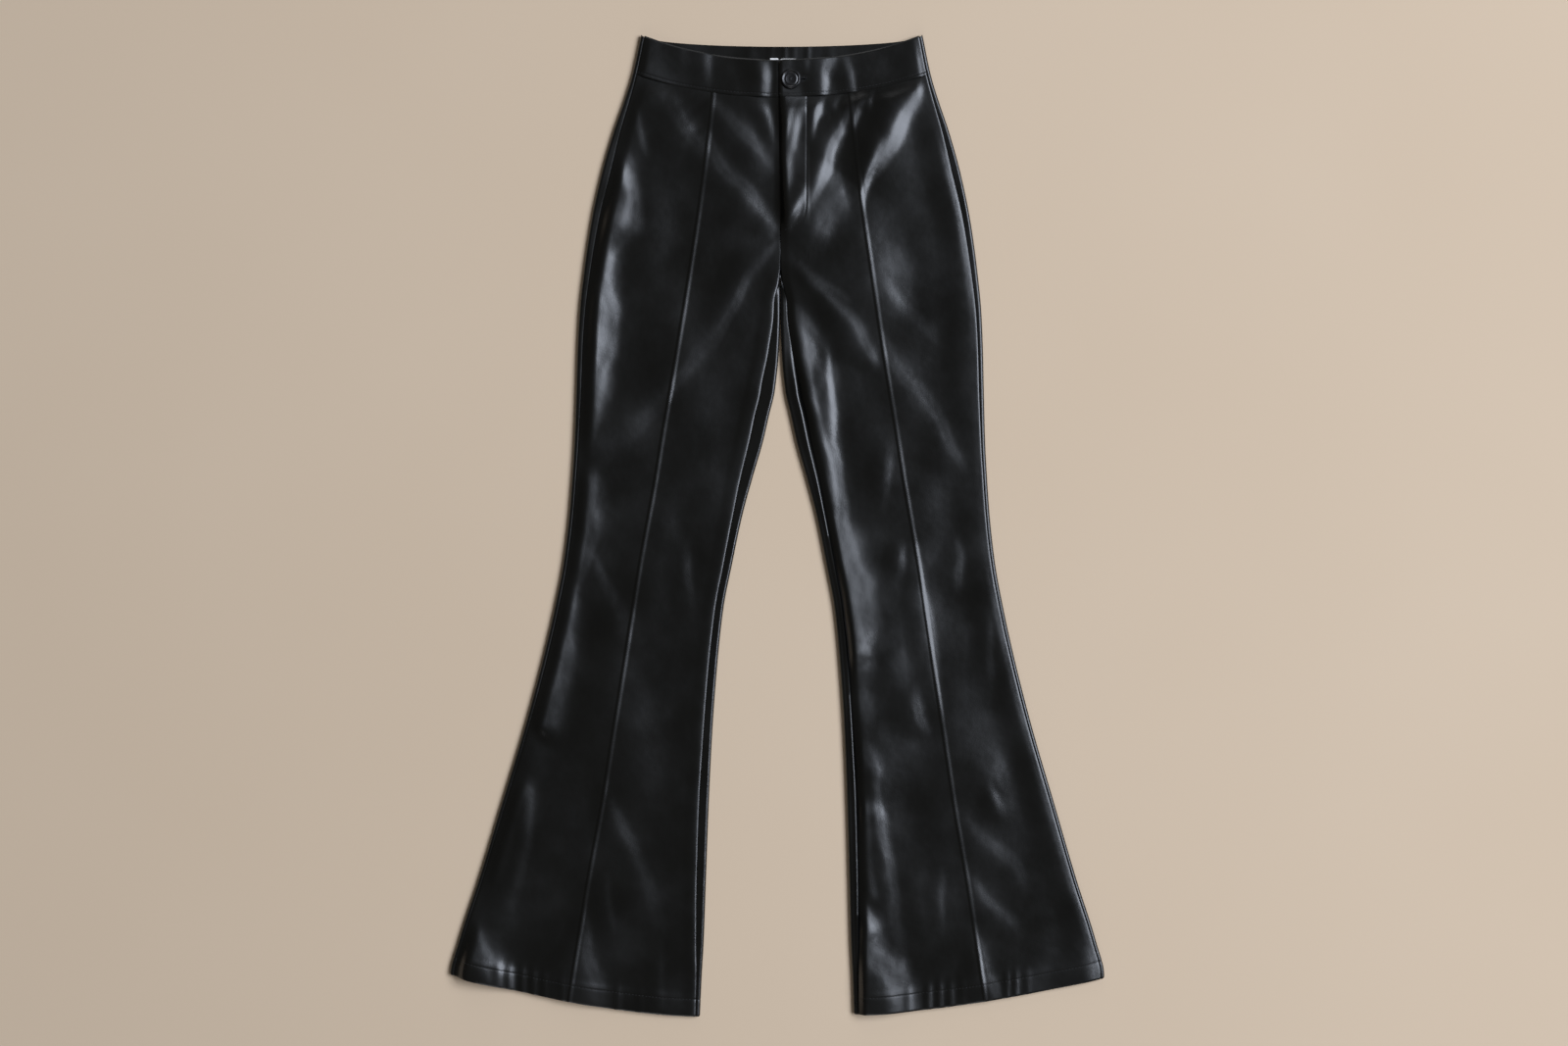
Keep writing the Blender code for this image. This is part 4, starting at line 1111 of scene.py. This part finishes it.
def leathercloth():
    """Polyurethane skin on a knitted backing, embossed with a fine grain by a hot roller.
    The eye sees near-black cloth with a soft satin shine that breaks up slightly."""
    material, tree, place_on = new_material("black PU leathercloth", "#101011")
    tone = two_tones(tree, cloudy(tree, place_on, 71.43, 3.0), "#080807", "#10100e")
    satin = spread(tree, cloudy(tree, place_on, 62.5, 4.0), 0.23, 0.37)
    # The backing pulls the skin into shallow hollows some 25 mm apart
    hollows = raised(tree, cloudy(tree, place_on, 25.0, 2.0), 0.8, 0.6)
    # Pebbles of the grain are 0.6 mm wide in the cloth and drawn 1.4 mm wide, so that they show
    pebbles = add_node(tree, "ShaderNodeTexVoronoi", {"Vector": place_on, "Scale": every(1.4286)})
    grain = raised(tree, pebbles.outputs["Distance"], 0.25, 0.08, hollows, invert=True)
    return coat(material, {"Base Color": tone, "Roughness": satin, "Normal": grain, "IOR": 1.5})


def resin():
    """Cast polyester button resin, turned and tumbled: black with a clear, narrow shine."""
    material, tree, place_on = new_material("black cast polyester", "#141415")
    # Marks of tumbling, some 1.1 mm apart
    marks = cloudy(tree, place_on, 1.1111, 3.0)
    inputs = {"Base Color": linear("#141415"), "Roughness": spread(tree, marks, 0.24, 0.34)}
    inputs.update({"Normal": raised(tree, marks, 0.2, 0.05), "IOR": 1.54})
    return coat(material, inputs)


def thread():
    """Spun polyester sewing thread, dyed black: dull, with a fine twist."""
    material, tree, place_on = new_material("black polyester thread", "#121213")
    # Plies cross the thread every 0.5 mm and are drawn every 2.1 mm, so that they show. A
    # diagonal wave runs through 10 radians in a unit.
    inputs = {"Vector": place_on, "Scale": math.tau / 10.0 * every(2.0944), "Distortion": 1.0}
    plies = add_node(tree, "ShaderNodeTexWave", inputs, bands_direction="DIAGONAL")
    twist = raised(tree, plies.outputs["Fac"], 0.5, 0.1)
    return coat(material, {"Base Color": linear("#121213"), "Roughness": 0.62, "Normal": twist})


def woven_tape(name, light, dark, pitch):
    """Narrow polyester tape in plain weave: matt, with the threads' small checks."""
    material, tree, place_on = new_material(name, light)
    colours = {"Color1": linear(light), "Color2": linear(dark)}
    inputs = {"Vector": place_on, "Scale": every(pitch), **colours}
    checks = add_node(tree, "ShaderNodeTexChecker", inputs).outputs
    weave = raised(tree, checks["Fac"], 0.4, 0.1)
    return coat(material, {"Base Color": checks["Color"], "Normal": weave, "Roughness": 0.8})


# ---- sewing


def stitch_tree():
    """Stitches one after another along a line: small thick ellipsoids of thread."""
    tree = bpy.data.node_groups.new("row of stitches", "GeometryNodeTree")
    face = tree.interface
    face.new_socket("Line", in_out="INPUT", socket_type="NodeSocketGeometry")
    for name in ("Pitch", "Stitch Length", "Thread Width"):
        face.new_socket(name, in_out="INPUT", socket_type="NodeSocketFloat")
    face.new_socket("Thread", in_out="INPUT", socket_type="NodeSocketMaterial")
    face.new_socket("Stitches", in_out="OUTPUT", socket_type="NodeSocketGeometry")
    given = add_node(tree, "NodeGroupInput").outputs
    curve = add_node(tree, "GeometryNodeMeshToCurve", {"Mesh": given["Line"]})
    inputs = {"Curve": curve.outputs["Curve"], "Length": given["Pitch"]}
    spaced_out = add_node(tree, "GeometryNodeResampleCurve", inputs, mode="LENGTH")
    ball = add_node(tree, "GeometryNodeMeshUVSphere", {"Segments": 6, "Rings": 5, "Radius": 0.5})
    size = add_node(
        tree,
        "ShaderNodeCombineXYZ",
        {"X": given["Stitch Length"], "Y": given["Thread Width"], "Z": given["Thread Width"]},
    )
    along = add_node(tree, "GeometryNodeInputTangent")
    inputs = {"Vector": along.outputs["Tangent"]}
    turn = add_node(tree, "FunctionNodeAlignRotationToVector", inputs, axis="X")
    sewn = add_node(
        tree,
        "GeometryNodeInstanceOnPoints",
        {
            "Points": spaced_out.outputs["Curve"],
            "Instance": ball.outputs["Mesh"],
            "Rotation": turn.outputs["Rotation"],
            "Scale": size.outputs["Vector"],
        },
    )
    real = add_node(tree, "GeometryNodeRealizeInstances", {"Geometry": sewn.outputs["Instances"]})
    finished = add_node(
        tree,
        "GeometryNodeSetMaterial",
        {"Geometry": real.outputs["Geometry"], "Material": given["Thread"]},
    )
    add_node(tree, "NodeGroupOutput", {"Stitches": finished.outputs["Geometry"]})
    return tree


def stitches(name, tree, lines, pitch, length, width, material):
    """Rows of stitches along lines of points, as one mesh."""
    mesh = bpy.data.meshes.new(name)
    points, edges = [], []
    for line in lines:
        start = len(points)
        points += [tuple(point) for point in line]
        edges += [(start + i, start + i + 1) for i in range(len(line) - 1)]
    mesh.from_pydata(points, edges, [])
    made = new_object(name, mesh)
    sewing = made.modifiers.new("stitches", "NODES")
    sewing.node_group = tree
    sizes = {"Pitch": pitch * MM, "Stitch Length": length * MM, "Thread Width": width * MM}
    sizes["Thread"] = material
    for item in tree.interface.items_tree:
        if item.in_out == "INPUT" and item.name in sizes:
            sewing[item.identifier] = sizes[item.name]
    applied(made)
    made.data.shade_smooth()
    return made


def front_line(leg, row, out, down):
    """Points of a row of stitches on a front's outer face."""
    up = front_lie(leg, row, out, down) + front_detail(leg, row, out, down)
    return place(leg, out, down, up + STITCH_SINK)[:, 0]


def hem_front_line(leg):
    """Points of the hem's stitching on a front."""
    edge = side_edge(np.full((1, 1), HEM_LINE_SIDE))[0].item()
    inner = inner_edge(leg, np.full((1, 1), HEM_LINE_INNER)).item()
    out = np.linspace(inner + HEM_LINE_ENDS[0], edge - HEM_LINE_ENDS[1], HEM_LINE_POINTS)[:, None]
    row = np.full(out.shape, LENGTH - HEM_STITCH)
    return front_line(leg, row, out, row_down(leg, row, out, FRONT_DIP))


def hem_back_line(leg):
    """The same row of stitches on the back, in its groove on the floor."""
    out = np.linspace(*HEM_LINE_BACK, HEM_LINE_POINTS)[:, None]
    down = row_down(leg, LENGTH - HEM_STITCH, out, BACK_DIP)
    return place(leg, out, down, HEM_GROOVE - BACK_STITCH_SINK)[:, 0]


def fly_line():
    """Points of the fly's stitching, below the waistband."""
    path = np.array(FLY_PATH)
    found = []
    for start, end in zip(path[:-1], path[1:]):
        steps = max(int(np.linalg.norm(end - start) / FLY_LINE_STEP), 2)
        found += [start + (end - start) * i / steps for i in range(steps)]
    found = np.array(found + [path[-1]])
    found = found[found[:, 1] > FLY_LINE_TOP]
    out, down = found[:, :1], found[:, 1:]
    return front_line("left", down, out, down)


def band_line(leg):
    """Points along the waistband's lower stitching."""
    depth = np.full((1, 1), 0.5)
    down = BAND * depth
    for _ in range(SETTLE):
        out, _ = band_columns(leg, down)
        _, seam = band_down(leg, out / section("side", down), out, depth)
        down = seam - BAND_STITCH
    lie = band_lie(leg, out, down) - BAND_GROOVE + STITCH_SINK
    line = place(leg, out, down, lie)[0]
    return line[ROUND_STEPS:-ROUND_STEPS]


# ---- button, buttonhole and label


def button_profile():
    """(radius, up) of half the button, from the middle of its top to the foot of its stem."""
    top, foot = BUTTON_SEAT + BUTTON_THICK, BAND_UNDER_TOP + GAP
    face = [(radius, top - below) for radius, below in BUTTON_FACE]
    return face + [(STEM_RADIUS, foot), (0.0, foot)]


def turned_button(material):
    """The button, turned from its profile, with four holes through its middle."""
    profile = button_profile()
    centre = place("left", BUTTON_OUT, BUTTON_DOWN, 0.0)
    shape = bmesh.new()
    rings = []
    for radius, up in profile:
        if radius == 0.0:
            rings.append([shape.verts.new((centre[0], centre[1], up * MM))])
            continue
        ring = []
        for step in range(BUTTON_TURNS):
            angle = 2.0 * math.pi * step / BUTTON_TURNS
            x = centre[0] + radius * math.cos(angle) * MM
            y = centre[1] + radius * math.sin(angle) * MM
            ring.append(shape.verts.new((x, y, up * MM)))
        rings.append(ring)
    for above, below in zip(rings, rings[1:]):
        for step in range(BUTTON_TURNS):
            after = (step + 1) % BUTTON_TURNS
            corners = [above[step % len(above)], below[step % len(below)]]
            if len(below) > 1:
                corners.append(below[after])
            if len(above) > 1:
                corners.append(above[after])
            shape.faces.new(corners)
    bmesh.ops.recalc_face_normals(shape, faces=shape.faces)
    mesh = bpy.data.meshes.new("button_turned")
    shape.to_mesh(mesh)
    shape.free()
    mesh.shade_smooth()
    mesh.set_sharp_from_angle(angle=BUTTON_SHARP_FROM)
    made = new_piece("button_turned", mesh, material)
    cut(made, button_holes())
    return made


def hole_places():
    """Middles of the button's four holes, in metres."""
    centre = place("left", BUTTON_OUT, BUTTON_DOWN, 0.0)
    angles = [EYE_TURN + quarter * math.pi / 2.0 for quarter in range(4)]
    reach = EYE_APART * MM
    return [
        (centre[0] + reach * math.cos(angle), centre[1] + reach * math.sin(angle))
        for angle in angles
    ]


def button_holes():
    """Round cutters that stop short of the button's seat, where the thread fills the holes."""
    shape = bmesh.new()
    middle = BUTTON_SEAT + BUTTON_THICK - EYE_MIDDLE
    size = {"radius1": EYE_RADIUS * MM, "radius2": EYE_RADIUS * MM, "depth": EYE_DEPTH * MM}
    for x, y in hole_places():
        made = bmesh.ops.create_cone(shape, cap_ends=True, segments=16, **size)
        bmesh.ops.translate(shape, vec=(x, y, middle * MM), verts=made["verts"])
    return cutter("button_holes", shape)


def cutter(name, shape):
    """An object that is taken out of another, and then removed."""
    mesh = bpy.data.meshes.new(name)
    shape.to_mesh(mesh)
    shape.free()
    return new_object(name, mesh)


def cut(made, tool):
    """Takes the tool's shape out of the piece."""
    taken = made.modifiers.new("cut", "BOOLEAN")
    taken.operation = "DIFFERENCE"
    taken.solver = "EXACT"
    taken.object = tool
    applied(made)
    bpy.data.objects.remove(tool, do_unlink=True)


def buttonhole_tool():
    """A slot with round ends."""
    shape = bmesh.new()
    centre = place("left", HOLE_OUT, BUTTON_DOWN, BAND_LAP_TOP)
    bmesh.ops.create_cube(shape, size=1.0)
    size = [HOLE_LENGTH * MM, HOLE_WIDTH * MM, HOLE_REACH * MM]
    bmesh.ops.scale(shape, vec=size, verts=shape.verts)
    upright = [edge for edge in shape.edges if abs(edge.verts[0].co.z - edge.verts[1].co.z) > MM]
    rounded = HOLE_WIDTH * HOLE_ROUND * MM
    bmesh.ops.bevel(
        shape, geom=upright, offset=rounded, segments=4, affect="EDGES", profile=0.5
    )
    bmesh.ops.translate(shape, vec=centre, verts=shape.verts)
    return cutter("buttonhole", shape)


def buttonhole_lines():
    """Short bars of thread side by side round the slot, each a line across its edge."""
    lines = []
    half = HOLE_LENGTH / 2.0 - HOLE_WIDTH / 2.0
    reach = HOLE_WIDTH / 2.0
    for side in (-1.0, 1.0):
        for out in np.arange(-half, half + 0.01, BAR_PITCH):
            near, far = side * (reach - BAR_INSIDE), side * (reach + BAR_LENGTH)
            lines.append(bar(HOLE_OUT + out, near, HOLE_OUT + out, far))
    for step in range(BARS_AT_END):
        angle = -math.pi / 2.0 + math.pi * step / (BARS_AT_END - 1.0)
        for end in (-1.0, 1.0):
            x, y = math.cos(angle) * end, math.sin(angle)
            centre = HOLE_OUT + end * half
            far = reach + BAR_LENGTH
            lines.append(bar(centre + x * reach, y * reach, centre + x * far, y * far))
    return lines


def bar(out_from, down_from, out_to, down_to):
    """One line of thread on the lapped end of the waistband."""
    outs = np.array([[out_from], [out_to]])
    downs = BUTTON_DOWN + np.array([[down_from], [down_to]])
    return place("left", outs, downs, band_lie("left", outs, downs) + BAR_LIFT)[:, 0]


def button_thread_lines():
    """Two crosswise bundles of strands between the button's holes."""
    top = (BUTTON_SEAT + BUTTON_THICK - STRAND_BELOW) * MM
    sunk, crown = top - STRAND_SUNK * MM, top + STRAND_CROWN * MM
    places = hole_places()
    lines = []
    for start, end in ((0, 2), (1, 3)):
        side = 1 if start else -1
        (x1, y1), (x2, y2) = places[start], places[end]
        for aside in (-STRAND_APART, 0.0, STRAND_APART):
            shift = aside * MM
            middle = ((x1 + x2) / 2.0 + shift, (y1 + y2) / 2.0, crown)
            first = (x1 + shift, y1 + shift * side, sunk)
            last = (x2 + shift, y2 + shift * side, sunk)
            lines.append((first, middle, last))
    return lines


def woven_label(material):
    """A folded blank label: two thin leaves joined at a round fold along its top."""
    low = FACING_LIE + GAP
    high = low + FACING_WALL
    middle_up = (low + high) / 2.0
    bend = math.pi * np.arange(LABEL_BENDS + 1) / LABEL_BENDS
    bottom = LABEL_TOP + LABEL_DEPTH
    fold_downs = LABEL_TOP + LABEL_FOLD - LABEL_FOLD * np.sin(bend)
    fold_ups = middle_up - LABEL_FOLD * np.cos(bend)
    downs = np.concatenate([[bottom], fold_downs, [bottom]])[:, None]
    ups = np.concatenate([[low], fold_ups, [high]])[:, None]
    outs = LABEL_OUT + LABEL_WIDTH * np.linspace(-0.5, 0.5, LABEL_COLUMNS)[None, :]
    ups = ups + LABEL_WAVE * np.sin(outs / LABEL_WAVE_RUN) * (ups > low + LABEL_STILL)
    hang = LABEL_HANG + LABEL_SAG * changing(outs, LABEL_CHANGES)
    downs = downs + hang
    thin = np.where(ups > middle_up, ups - LABEL_LEAF, ups + LABEL_LEAF)
    inner_downs = np.maximum(downs, LABEL_TOP + LABEL_LEAF_TOP + hang)
    grids = place("left", outs, downs, ups), place("left", outs, inner_downs, thin)
    return shell("label_woven", grids, material)


# ---- putting it together


def finish_cloth(made, nodes, with_pieces=()):
    """Rides on the root body with its sewn pieces, and hides the solids it stands for."""
    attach(made, "root")
    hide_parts(*nodes)
    for piece in with_pieces:
        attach(piece, "root")


def build_trousers():
    """Every piece, from the floor up."""
    leather, polyester = leathercloth(), thread()
    tree = stitch_tree()

    def sew(name, lines, pitch=STITCH_PITCH, length=STITCH_LENGTH, width=THREAD_WIDTH):
        return stitches(name, tree, lines, pitch, length, width, polyester)

    for leg in SIGN:
        grids = back_points(leg)
        made = shell(f"back_panel_{leg}", grids, leather)
        hem = sew(f"hem_stitches_back_{leg}", [hem_back_line(leg)], width=BACK_THREAD_WIDTH)
        finish_cloth(made, [f"back_{leg}"], [hem])
    for leg in SIGN:
        grids = front_points(leg)
        made = shell(f"front_panel_{leg}", grids, leather)
        sewn = [sew(f"hem_stitches_front_{leg}", [hem_front_line(leg)])]
        if leg == "left":
            sewn.append(sew("fly_stitches", [fly_line()]))
        finish_cloth(made, [f"front_{leg}"], sewn)

    grids = back_band_points()
    made = shell("waistband_back_outer", grids, leather)
    finish_cloth(made, ["waistband_back"])
    grids = facing_points()
    made = shell("waistband_back_inner", grids, leather)
    finish_cloth(made, ["waistband_facing"])
    for leg in ("right", "left"):
        grids = band_points(leg)
        made = shell(f"waistband_{leg}", grids, leather)
        sewn = [sew(f"waistband_stitches_{leg}", [band_line(leg)])]
        if leg == "left":
            cut(made, buttonhole_tool())
            sewn.append(sew("buttonhole_stitches", buttonhole_lines(), *HOLE_STITCH))
        finish_cloth(made, [f"waistband_front_{leg}"], sewn)

    white = woven_tape("white woven label tape", "#f0efec", "#dcdad5", 0.5)
    made = woven_label(white)
    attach(made, "root")
    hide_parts("label")
    made = turned_button(resin())
    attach(made, "root")
    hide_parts("button")
    made = sew("button_thread", button_thread_lines(), *BUTTON_STITCH)
    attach(made, "root")

    tape = woven_tape("black woven zip tape", "#161617", "#0c0c0d", 0.6)
    zip_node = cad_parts["fly_zip"]
    zip_node.data.materials.clear()
    zip_node.data.materials.append(tape)


# ---- floor, light and camera


FLOOR_HALF, FLOOR_UP = 4.0, -0.0002  # in metres
# Metres and watts; azimuth runs from +X towards +Y, and tilt is from overhead
Light = namedtuple("Light", "name azimuth tilt distance size power colour")
LIGHTS = (
    Light("window", 14.0, 43.0, 9.0, (4.5, 7.0), 1180.0, "#e8f0ff"),
    Light("fill_top", 90.0, 70.0, 5.0, (3.6, 2.0), 26.0, "#f2f3f6"),
    Light("fill_low", 270.0, 70.0, 5.0, (3.6, 2.0), 40.0, "#f2f3f6"),
)
BACKDROP_COLOUR, BACKDROP_STRENGTH = "#f4ece0", 0.08
CAMERA_PLACE = (0.0074, 0.0027, 2.356)  # straight above, where the outline fits the photo
CAMERA_LENS, CAMERA_SENSOR = 50.0, 36.0


def plain_floor():
    """A pale floor just below the cloth."""
    material, tree, place_on = new_material("matt painted floor", "#cdbfab")
    tone = two_tones(tree, cloudy(tree, place_on, 500.0, 2.0), "#ccb69b", "#d2bda3")
    coat(material, {"Base Color": tone, "Roughness": 0.9})
    mesh = bpy.data.meshes.new("floor")
    corners = [(x * FLOOR_HALF, y * FLOOR_HALF) for x, y in ((-1, -1), (1, -1), (1, 1), (-1, 1))]
    mesh.from_pydata([(x, y, FLOOR_UP) for x, y in corners], [], [(0, 1, 2, 3)])
    new_piece("floor", mesh, material)


def soft_light(light):
    """A large soft light that faces the middle of the floor."""
    lamp = bpy.data.lights.new(light.name, "AREA")
    lamp.shape = "RECTANGLE"
    lamp.size, lamp.size_y = light.size
    lamp.energy = light.power
    lamp.color = linear(light.colour)[:3]
    turn, lean = math.radians(light.azimuth), math.radians(light.tilt)
    aside = light.distance * math.sin(lean)
    made = new_object(light.name, lamp)
    made.location = (
        aside * math.cos(turn),
        aside * math.sin(turn),
        light.distance * math.cos(lean),
    )
    made.rotation_euler = (0.0, lean, turn)


def light_and_camera():
    """Soft light from a window at the right, dim fills, and the camera straight above."""
    for light in LIGHTS:
        soft_light(light)
    world = bpy.data.worlds.new("studio")
    world.use_nodes = True
    sky = {"Color": linear(BACKDROP_COLOUR), "Strength": BACKDROP_STRENGTH}
    give(world.node_tree, world.node_tree.nodes["Background"], sky)
    bpy.context.scene.world = world
    bpy.context.scene.view_settings.view_transform = "Standard"

    camera = bpy.data.cameras.new("camera")
    camera.lens = CAMERA_LENS
    camera.sensor_width = CAMERA_SENSOR
    made = new_object("camera", camera)
    made.location = CAMERA_PLACE
    bpy.context.scene.camera = made


build_trousers()
plain_floor()
light_and_camera()
